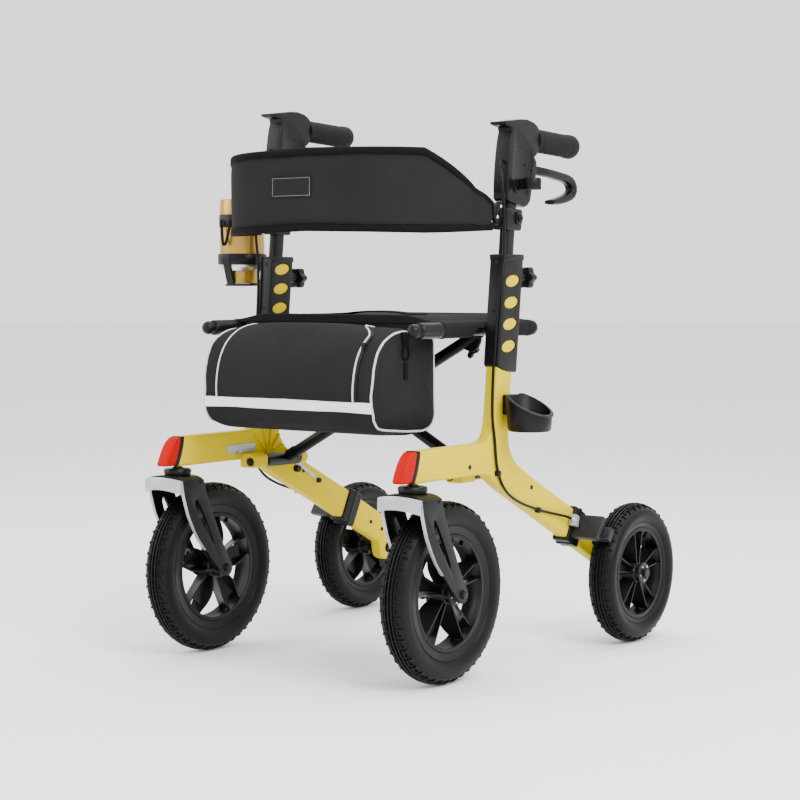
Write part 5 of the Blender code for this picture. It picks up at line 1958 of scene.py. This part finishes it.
class Bag(Tailor):
    """Storage bag under the front of the seat."""

    half: float = 0.190

    def side_outline(self, shrink: float) -> list[Flat]:
        """Smooth side outline of the bag, pulled in by a distance."""
        knots = [(-0.177, 0.573), (-0.222, 0.583), (-0.267, 0.5895), (-0.298, 0.5855), (-0.321, 0.576)]
        knots += [(-0.338, 0.564), (-0.3495, 0.546), (-0.3585, 0.519), (-0.3625, 0.480), (-0.3605, 0.446)]
        knots += [(-0.353, 0.430), (-0.339, 0.420), (-0.289, 0.412), (-0.224, 0.409), (-0.196, 0.413)]
        knots += [(-0.180, 0.424), (-0.174, 0.445), (-0.174, 0.526)]
        centre = Vector((-0.268, 0.497))
        looped = [knots[-1], *knots, knots[0], knots[1]]
        line = smooth_line([(y, z) for y, z in looped], 4)[4:-8]
        pulled = []
        for point in line:
            away = point - centre
            pulled.append(tuple(point - away.normalized() * shrink))
        return pulled

    def build(self) -> None:
        """Model body, pocket, piping, reflective band, zipper and hangers."""
        body = self.body()
        surface = body.copy()
        surface.data = body.data.copy()
        bpy.context.scene.collection.objects.link(surface)
        self.hang(body, "bag_body", self.finishes.cloth, ["storage_bag"])
        self.fold(body)
        self.pocket(surface)
        self.piping(surface)
        self.band(surface)
        self.hangers(surface)
        bpy.data.objects.remove(surface, do_unlink=True)

    def hang(self, obj: Any, name: str, finish: Any, replaces: Sequence[str] = (),
             slot: str = "fabric_grey") -> None:
        """Dress a piece of the bag."""
        self.dress(obj, name, "seat", finish, slot, replaces, 50)

    def fold(self, obj: Any) -> None:
        """Give a piece its own copy of its mesh."""
        ORIGIN.x - RAIL_X
        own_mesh(obj)

    def body(self) -> Any:
        """Puffed body with slightly sunk side panels."""
        rows = []
        stations = [-1.0, -0.994, -0.975, -0.9, -0.7, -0.45, -0.15, 0.15, 0.45, 0.7, 0.9, 0.975, 0.994, 1.0]
        for share in stations:
            shrink = 0.0022 + 0.0045 * max(0.0, (abs(share) - 0.97) / 0.03) ** 2
            rows.append([(share * (self.half - 0.003), y, z) for y, z in self.side_outline(shrink)])
        return self.refine(self.inflate(skin_rows(rows), 0.006, 3.0, 0.004))

    def front_points(self, low: float, high: float, count: int) -> list[Flat]:
        """Points along the outline from the front's lower part up over the top, by share."""
        outline = self.side_outline(0.0)
        line = [point for point in outline if point[0] < -0.215 and point[1] > 0.43]
        line.sort(key=lambda point: math.atan2(point[1] - 0.47, -0.215 - point[0]))
        spine = [Vector(point) for point in line]
        lengths = [0.0]
        for start, end in zip(spine, spine[1:]):
            lengths.append(lengths[-1] + (end - start).length)
        found = []
        for step in range(count):
            target = lengths[-1] * (low + (high - low) * step / (count - 1))
            index = max(i for i, length in enumerate(lengths) if length <= target + 1e-9)
            index = min(index, len(spine) - 2)
            share = (target - lengths[index]) / max(lengths[index + 1] - lengths[index], 1e-9)
            found.append(tuple(spine[index].lerp(spine[index + 1], min(share, 1.0))))
        return found

    def pocket_edge(self, share: float, sign: int) -> float:
        """Where the pocket's edge runs on one side, at a share of its height."""
        if sign < 0:
            return -0.149 + 0.012 * max(0.0, share - 0.70)
        bend = min(max((share - 0.58) / 0.34, 0.0), 1.0)
        return 0.149 - 0.050 * bend * bend * (3 - 2 * bend)

    def pocket(self, surface: Any) -> None:
        """Front pocket panel with its piping, stitches and zipper."""
        low, high, count = 0.16, 0.93, 26
        line = self.front_points(low, high, count)
        rows = []
        for index, (y, z) in enumerate(line):
            share = index / (count - 1)
            left, right = self.pocket_edge(share, -1), self.pocket_edge(share, 1)
            row = [(left + (right - left) * step / 30, y, z) for step in range(31)]
            full = 0.0080 * math.sin(math.pi * min(share * 1.05, 1.0)) ** 0.7
            laid = self.laid(surface, row, 0.0014)
            out = (laid[15] - Vector((laid[15].x, -0.268, 0.497))).normalized()
            rows.append([
                point + out * full * (1 - abs(step / 15 - 1) ** 3) for step, point in enumerate(laid)
            ])
        panel = self.patch(rows, 0.0020)
        self.hang(panel, "pocket_panel", self.finishes.cloth)
        self.fold(panel)
        cords, runs = [], []
        for sign in (-1, 1):
            places = []
            for index, (y, z) in enumerate(line):
                places.append((self.pocket_edge(index / (count - 1), sign), y, z))
            cords.append(BENCH.pipe(self.laid(surface, places, 0.0022), 0.0017))
            inner = [(x - sign * 0.006, y, z) for x, y, z in places]
            runs.append(self.stitches(self.laid(surface, inner, 0.0026)))
        cords.append(BENCH.pipe([point + Vector((0, 0, 0.0008)) for point in rows[-1]], 0.0019))
        piping = BENCH.join(*cords)
        self.hang(piping, "pocket_piping", self.finishes.piping)
        self.fold(piping)
        thread = BENCH.join(*runs)
        self.hang(thread, "pocket_stitching", self.finishes.binding)
        self.fold(thread)
        teeth_line = []
        for index, (y, z) in enumerate(line[:20]):
            teeth_line.append((self.pocket_edge(index / (count - 1), 1) + 0.0055, y, z))
        laid = self.laid(surface, teeth_line, 0.0012)
        tape = BENCH.pipe(laid, 0.0024)
        teeth = self.stitches([Vector(point) for point in self.laid(surface, teeth_line, 0.0036)], 0.0024,
                              0.0009)
        slider = BENCH.block((-0.0035, -0.003, -0.006), (0.0035, 0.003, 0.006), 0.0012, 2)
        tab = BENCH.block((-0.0025, -0.0045, -0.022), (0.0025, -0.0030, -0.004), 0.0006, 2)
        pull = BENCH.join(slider, tab)
        pull.data.transform(Matrix.Translation(laid[12] + Vector((0.0, -0.004, 0.0))))
        tape = BENCH.join(tape, teeth, pull)
        self.hang(tape, "pocket_zipper", self.finishes.plastic, slot="black_plastic")
        self.fold(tape)

    def piping(self, surface: Any) -> None:
        """Pale piping round both side panels, with a stitched seam beside it."""
        cords, runs = [], []
        for sign in (-1, 1):
            outline = self.side_outline(0.0)
            ring = [(sign * (self.half - 0.003), y, z) for y, z in outline]
            laid = self.laid(surface, ring, 0.0010)
            cords.append(BENCH.pipe(laid, 0.0019, closed=True))
            seam = [(sign * (self.half + 0.01), y, z) for y, z in self.side_outline(0.010)]
            runs.append(self.stitches(self.laid(surface, [*seam, seam[0]], 0.0005)))
        piping = BENCH.join(*cords)
        self.hang(piping, "side_piping", self.finishes.piping)
        self.fold(piping)
        thread = BENCH.join(*runs)
        self.hang(thread, "side_stitching", self.finishes.binding)
        self.fold(thread)

    def band(self, surface: Any) -> None:
        """Reflective band across the front."""
        rows = []
        for step in range(5):
            z = 0.4500 + 0.0190 * step / 4
            row = [(-0.1865 + 0.373 * column / 40, -0.365, z) for column in range(41)]
            rows.append(self.laid(surface, row, 0.0014))
        tape = self.patch(rows, 0.0012)
        self.hang(tape, "reflective_band", self.finishes.reflective)
        self.fold(tape)
        runs = []
        for z in (0.4518, 0.4672):
            row = [(-0.184 + 0.368 * column / 60, -0.365, z) for column in range(61)]
            runs.append(self.stitches(self.laid(surface, row, 0.0021), 0.0042, 0.0003))
        thread = BENCH.join(*runs)
        self.hang(thread, "band_stitching", self.finishes.piping)
        self.fold(thread)

    def hangers(self, surface: Any) -> None:
        """Webbing loops from the rail ends down to the side panels, with their tabs."""
        pieces = []
        for sign in (-1, 1):
            x = sign * (self.half + 0.0022)
            ring = [(x, -0.276, 0.5655), (x, -0.2600, 0.5480), (x, -0.276, 0.5265), (x, -0.2920, 0.5480)]
            pieces.append(BENCH.pipe([Vector(point) for point in ring], 0.0019, closed=True))
            low, high = sorted((x - sign * 0.004, x + sign * 0.0022))
            pieces.append(BENCH.block((low, -0.284, 0.559), (high, -0.268, 0.584), 0.0008, 2))
            pieces.append(BENCH.block((low, -0.281, 0.505), (high, -0.271, 0.533), 0.0008, 2))
        hangers = BENCH.join(*pieces)
        self.hang(hangers, "bag_hangers", self.finishes.binding)
        self.fold(hangers)


class Backrest(Tailor):
    """Padded band round the front of the handles."""

    def fold(self, obj: Any) -> None:
        """Give a piece its own copy of its mesh."""
        ORIGIN.x + FRAME_X
        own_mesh(obj)

    def hang(self, obj: Any, name: str, finish: Any, replaces: Sequence[str] = (),
             slot: str = "fabric_grey") -> None:
        """Dress a piece of the band."""
        self.dress(obj, name, "left_handle", finish, slot, replaces, 50)

    def path(self) -> list[Vector]:
        """Middle line of the band seen from above."""
        corner, front_x, front_y = 0.150, 0.246, -0.300
        run = [(FRAME_X, -0.1180), (FRAME_X - 0.0005, -0.125), (0.2540, -0.137)]
        run += arc((front_x - corner, front_y + corner), corner, 0, -90, 14)
        run += [(0.064, front_y - 0.0025), (0.032, front_y - 0.0035), (0.0, front_y - 0.004)]
        whole = run + [(-x, y) for x, y in reversed(run[:-1])]
        return smooth_line(whole, 3)

    def heights(self, point: Vector) -> tuple[float, float]:
        """Lower and upper edge of the band at a place."""
        reach = min((-0.1176 - point.y) / 0.130, 1.0)
        rise = 0.006 * reach * (1 - min(abs(point.x) / 0.246, 1.0))
        return 0.757 - 0.007 * reach + rise, 0.803 + 0.084 * reach + rise

    def frames(self) -> list[tuple[Vector, Vector]]:
        """Middle line with its outward direction."""
        path = self.path()
        found = []
        for index, point in enumerate(path):
            along = (path[min(index + 1, len(path) - 1)] - path[max(index - 1, 0)]).normalized()
            found.append((point, Vector((-along.y, along.x))))
        return found

    def edge(self, offset: float, inset: float, upper: bool) -> list[Point]:
        """A line along the band.

        Args:
            offset: distance from the middle surface, to the outside.
            inset: distance from the edge.
            upper: whether it follows the upper edge.

        Returns:
            Its points.
        """
        line = []
        for point, away in self.frames():
            low, high = self.heights(point)
            place = point - away * offset
            line.append((place.x, place.y, high - inset if upper else low + inset))
        return line

    def build(self) -> None:
        """Model the padded band, its bindings, stitching, label and plate rivets."""
        rows = []
        for point, away in self.frames():
            low, high = self.heights(point)
            ring = []
            for step in range(22):
                turn = math.tau * step / 22
                up = math.copysign(abs(math.sin(turn)) ** 0.5, math.sin(turn))
                out = math.copysign(abs(math.cos(turn)) ** 0.7, math.cos(turn))
                place = point + away * (0.0040 * out)
                ring.append((place.x, place.y, (low + high) / 2 + (high - low - 0.003) / 2 * up))
            rows.append(ring)
        band = self.refine(self.inflate(skin_rows(rows), 0.0045, 3.0, 0.0025))
        surface = band.copy()
        surface.data = band.data.copy()
        bpy.context.scene.collection.objects.link(surface)
        self.hang(band, "backrest_pad", self.finishes.cloth, ["backrest_band"])
        self.fold(band)
        bindings = []
        for upper in (True, False):
            line = self.edge(0.0, 0.0050, upper)
            rows = []
            for point, (_, away) in zip(line, self.frames()):
                middle = Vector(point)
                side = Vector((away.x, away.y, 0))
                ring = []
                for step in range(10):
                    turn = math.tau * step / 10
                    ring.append(tuple(middle + side * 0.0056 * math.cos(turn) + Vector((0, 0,
                                                            0.0078 * math.sin(turn)))))
                rows.append(ring)
            bindings.append(skin_rows(rows))
        binding = BENCH.join(*bindings)
        self.hang(binding, "backrest_binding", self.finishes.binding)
        self.fold(binding)
        runs = []
        for upper in (True, False):
            for inset in (0.0105, 0.0135):
                for offset in (0.0060, -0.0060):
                    line = [Vector(point) for point in self.edge(offset, inset, upper)]
                    runs.append(self.stitches(line, 0.0044, 0.0004))
        thread = BENCH.join(*runs)
        self.hang(thread, "backrest_stitching", self.finishes.binding)
        self.fold(thread)
        self.label(surface)
        bpy.data.objects.remove(surface, do_unlink=True)
        self.rivets()

    def label(self, surface: Any) -> None:
        """Plain woven label with a stitched border, laid on the pad."""
        left, low, width, tall = -0.070, 0.811, 0.090, 0.036
        rows = []
        for row in range(7):
            z = low + tall * row / 6
            line = [(left + width * column / 16, -0.330, z) for column in range(17)]
            rows.append(self.laid(surface, line, 0.0012))
        label = self.patch(rows, 0.0010)
        self.hang(label, "plain_label", self.finishes.cloth)
        self.fold(label)
        inset = 0.003
        corners = [(left + inset, low + inset), (left + width - inset, low + inset)]
        corners += [(left + width - inset, low + tall - inset), (left + inset, low + tall - inset)]
        border: list[Point] = []
        for start, end in zip(corners, corners[1:] + corners[:1]):
            for step in range(12):
                place = Vector(start).lerp(Vector(end), step / 12)
                border.append((place.x, -0.330, place.y))
        thread = self.stitches(self.laid(surface, [*border, border[0]], 0.0019), 0.0036, 0.0004)
        self.hang(thread, "label_stitching", self.finishes.piping)
        self.fold(thread)

    def rivets(self) -> None:
        """Three rivets on each clamp's round plate."""
        rivets = []
        for sign in (1, -1):
            for turn in (90, 210, 330):
                y = -0.097 + 0.012 * math.cos(math.radians(turn))
                z = 0.784 + 0.012 * math.sin(math.radians(turn))
                rivets.append(BENCH.turn(
                    [(0, 0), (0, 0.0034), (0.0008, 0.0032), (0.0016, 0.0020), (0.0019, 0)],
                    (sign * 0.2634, y, z), (sign, 0, 0), 24,
                ))
        for sign, word in ((1, "left"), (-1, "right")):
            rivet = BENCH.join(*rivets[:3]) if sign == 1 else BENCH.join(*rivets[3:])
            self.dress(
                rivet, f"{word}_plate_rivets", f"{word}_handle", self.finishes.steel, "steel", (), 50
            )


# ---------------------------------------------------------------- cane and drink holders


class CaneHolder(Assembly):
    """Cup for the foot of a cane and the clip for its shaft."""

    def build(self) -> None:
        """Model cup and clip."""
        centre = (0.318, -0.090, 0.0)
        profile = [(0.4130, 0), (0.4130, 0.0340), (0.4142, 0.0355), (0.4165, 0.0372), (0.4300, 0.0384)]
        profile += [(0.4760, 0.0405), (0.4760, 0.0376), (0.4185, 0.0345), (0.4165, 0.0330), (0.4165, 0)]
        cup = BENCH.turn(profile, centre, (0, 0, 1), 80)
        back = BENCH.block((0.2712, -0.104, 0.440), (0.2802, -0.076, 0.4745), 0.002, 2)
        BENCH.cut(cup, back, "UNION")
        slant = [(0.262, 0.4745), (0.285, 0.4745), (0.300, 0.4700), (0.350, 0.4440), (0.365, 0.4370),
                 (0.40, 0.436)]
        slant += [(0.40, 0.52), (0.262, 0.52)]
        BENCH.cut(cup, BENCH.plate(slant, -0.2, 0.0, "Y"))
        BENCH.soften(cup, 0.0009, 2, 40)
        self.dress(
            cup, "cane_rest_cup", "left_frame", self.finishes.plastic, "black_plastic", ["left_cane_cup"], 35
        )
        rim = []
        for step in range(61):
            turn = math.radians(-150 + 300 * step / 60)
            x = centre[0] + 0.0398 * math.cos(turn)
            z = 0.4745 if x < 0.288 else 0.4745 - 0.52 * (x - 0.288)
            rim.append((x, centre[1] + 0.0398 * math.sin(turn), max(z, 0.4368) + 0.0002))
        lip = BENCH.pipe(rim, 0.0016)
        self.dress(lip, "cup_rim", "left_frame", self.finishes.slate, "black_plastic")
        self.clip()

    def clip(self) -> None:
        """Open ring with lead-in lips."""
        centre = (0.2975, -0.050)
        outline = arc(centre, 0.0165, 60, 350, 48) + arc(centre, 0.0130, 350, 60, 48)
        ring = BENCH.plate(outline, 0.8255, 0.8455, "Z", 0.0008, 2)
        base = BENCH.block((0.2733, -0.057, 0.8265), (0.2840, -0.043, 0.8445), 0.001, 2)
        clip = BENCH.join(ring, base)
        self.dress(clip, "cane_shaft_clip", "left_handle", self.finishes.plastic, "black_plastic",
                   ["left_cane_clip"])


class DrinkHolder(Assembly):
    """Ring holder on the right sleeve and the flask in it."""

    centre: Flat = (-0.357, -0.055)

    def build(self) -> None:
        """Model holder and flask."""
        x, y = self.centre
        ring = BENCH.turn(
            [(0.7010, 0.0434), (0.7010, 0.0458), (0.7025, 0.0468), (0.7195, 0.0468), (0.7210, 0.0458),
             (0.7210, 0.0434)],
            (x, y, 0), (0, 0, 1), 80, solid=False,
        )
        arm = BENCH.block((-0.3125, -0.073, 0.7030), (-0.2740, -0.037, 0.7130), 0.0015, 2)
        clamp = BENCH.block((-0.2775, -0.099, 0.688), (-0.2735, -0.035, 0.7145), 0.0012, 2)
        base = BENCH.rod((x, y, 0.6598), (x, y, 0.6642), 0.0330, 56, 0.001)
        straps = []
        for sign in (-1, 1):
            outline = [(sign * 0.030, 0.6605), (sign * 0.034, 0.6605), (sign * 0.0392, 0.675),
                       (sign * 0.0465, 0.702)]
            outline += [(sign * 0.0468, 0.716), (sign * 0.0438, 0.716), (sign * 0.0436, 0.703),
                        (sign * 0.0362, 0.676)]
            straps.append(BENCH.plate([(y + first, second) for first, second in outline], x - 0.008,
                                      x + 0.008, "X"))
        holder = BENCH.join(ring, arm, clamp, base, *straps)
        self.dress(
            holder, "ring_holder", "right_frame", self.finishes.plastic, "black_plastic", ["right_drink_holder"]
        )
        self.flask()

    def flask(self) -> None:
        """Flask with its bright rims, dark collar and hanging loop."""
        x, y = self.centre
        profile = [(0.6645, 0), (0.6645, 0.0285), (0.6655, 0.0298), (0.6885, 0.0312), (0.6900, 0.0350),
                   (0.6915, 0.0388)]
        profile += [(0.7000, 0.0420), (0.7020, 0.0425), (0.7700, 0.0425), (0.7700, 0.0415), (0.7960, 0.0415)]
        profile += [(0.7960, 0.0425), (0.8200, 0.0425), (0.8235, 0.0415), (0.8250, 0.0390), (0.8250, 0)]
        flask = BENCH.turn(profile, (x, y, 0), (0, 0, 1), 80)
        self.dress(
            flask, "flask_shell", "flask", self.finishes.gold, "flask_gold", ["right_drink_flask"], 30
        )
        collar = BENCH.turn(
            [(0.7712, 0.0412), (0.7712, 0.0435), (0.7725, 0.0442), (0.7945, 0.0442), (0.7955, 0.0435),
             (0.7955, 0.0412)],
            (x, y, 0), (0, 0, 1), 72, solid=False,
        )
        self.dress(collar, "flask_collar", "flask", self.finishes.plastic, "black_plastic")
        rim = BENCH.turn(
            [(0.6905, 0.0370), (0.6895, 0.0395), (0.6915, 0.0402), (0.6990, 0.0428), (0.7005, 0.0425),
             (0.7000, 0.0400)],
            (x, y, 0), (0, 0, 1), 72, solid=False,
        )
        self.dress(rim, "flask_rim", "flask", self.finishes.steel, "steel")
        rows = []
        for step in range(31):
            share = step / 30
            swing = math.pi * share
            reach_y = y - 0.0455 - 0.006 * math.sin(swing)
            z = 0.786 - 0.050 * math.sin(swing)
            across = x - 0.012 + 0.024 * share
            rows.append([(across - 0.003, reach_y, z), (across + 0.003, reach_y, z),
                         (across + 0.003, reach_y - 0.0014, z), (across - 0.003, reach_y - 0.0014, z)])
        loop = skin_rows(rows)
        self.dress(loop, "flask_loop", "flask", self.finishes.binding, "black_plastic")


# ---------------------------------------------------------------- studio


@dataclass
class Studio:
    """Camera, floor and soft light."""

    place: Point = (2.10326, -2.85102, 0.66347)
    pitch: float = 3.442
    yaw: float = 36.288
    lens: float = 86.69

    def build(self) -> None:
        """Add camera, floor and lamps."""
        self.camera()
        self.floor()
        self.lights()

    def camera(self) -> None:
        """Three-quarter view from the front left."""
        data = bpy.data.cameras.new("view")
        data.lens = self.lens
        data.sensor_width = 36.0
        camera = bpy.data.objects.new("view", data)
        bpy.context.scene.collection.objects.link(camera)
        camera.location = self.place
        camera.rotation_euler = (math.radians(90 - self.pitch), 0.0, math.radians(self.yaw))
        bpy.context.scene.camera = camera

    def floor(self) -> None:
        """Pale floor under the wheels."""
        BENCH.fresh()
        bpy.ops.mesh.primitive_circle_add(vertices=96, radius=30.0, fill_type="NGON",
                                          location=(0, 0, -0.0005))
        floor = bpy.context.object
        floor.name = "floor"
        paint = Paint("floor_white")
        paint.feed("Base Color", (0.92, 0.92, 0.92))
        paint.feed("Roughness", 0.9)
        floor.data.materials.append(paint.material)

    def lights(self) -> None:
        """Three large soft lamps and a bright surround."""
        world = bpy.data.worlds.new("surround")
        world.use_nodes = True
        background = world.node_tree.nodes["Background"]
        background.inputs["Color"].default_value = (1.0, 1.0, 1.0, 1.0)
        background.inputs["Strength"].default_value = 1.7
        bpy.context.scene.world = world
        for name, place, size, power in (
            ("key", (2.6, -1.2, 2.6), 1.6, 140.0),
            ("fill", (-2.8, -2.2, 1.8), 2.2, 55.0),
            ("top", (0.0, 0.6, 3.4), 2.4, 90.0),
        ):
            data = bpy.data.lights.new(name, "AREA")
            data.energy = power
            data.size = size
            lamp = bpy.data.objects.new(name, data)
            bpy.context.scene.collection.objects.link(lamp)
            lamp.location = place
            aim = Vector((0.0, 0.0, 0.45)) - Vector(place)
            lamp.rotation_euler = aim.to_track_quat("-Z", "Y").to_euler()


def main() -> None:
    """Build every sub-assembly in order, then the studio."""
    logging.basicConfig(level=logging.INFO, format="%(message)s")
    finishes = Finishes()
    for side in Side:
        SideFrame(finishes, side).build()
        Handle(finishes, side).build()
        Caster(finishes, side).build()
        front = Vector((side.value * FRAME_X, -AXLE_Y, FRONT_R))
        rear = Vector((side.value * REAR_X, AXLE_Y, REAR_R))
        Wheel(finishes, side, "front", front, FRONT_R, 0.112, 0.0915, 0.033, 46).build()
        Wheel(finishes, side, "rear", rear, REAR_R, 0.093, 0.078, 0.030, 40).build()
        Brace(finishes, side).build()
    CaneHolder(finishes).build()
    DrinkHolder(finishes).build()
    Seat(finishes).build()
    Bag(finishes).build()
    Backrest(finishes).build()
    Studio().build()


if __name__ == "__main__":
    main()
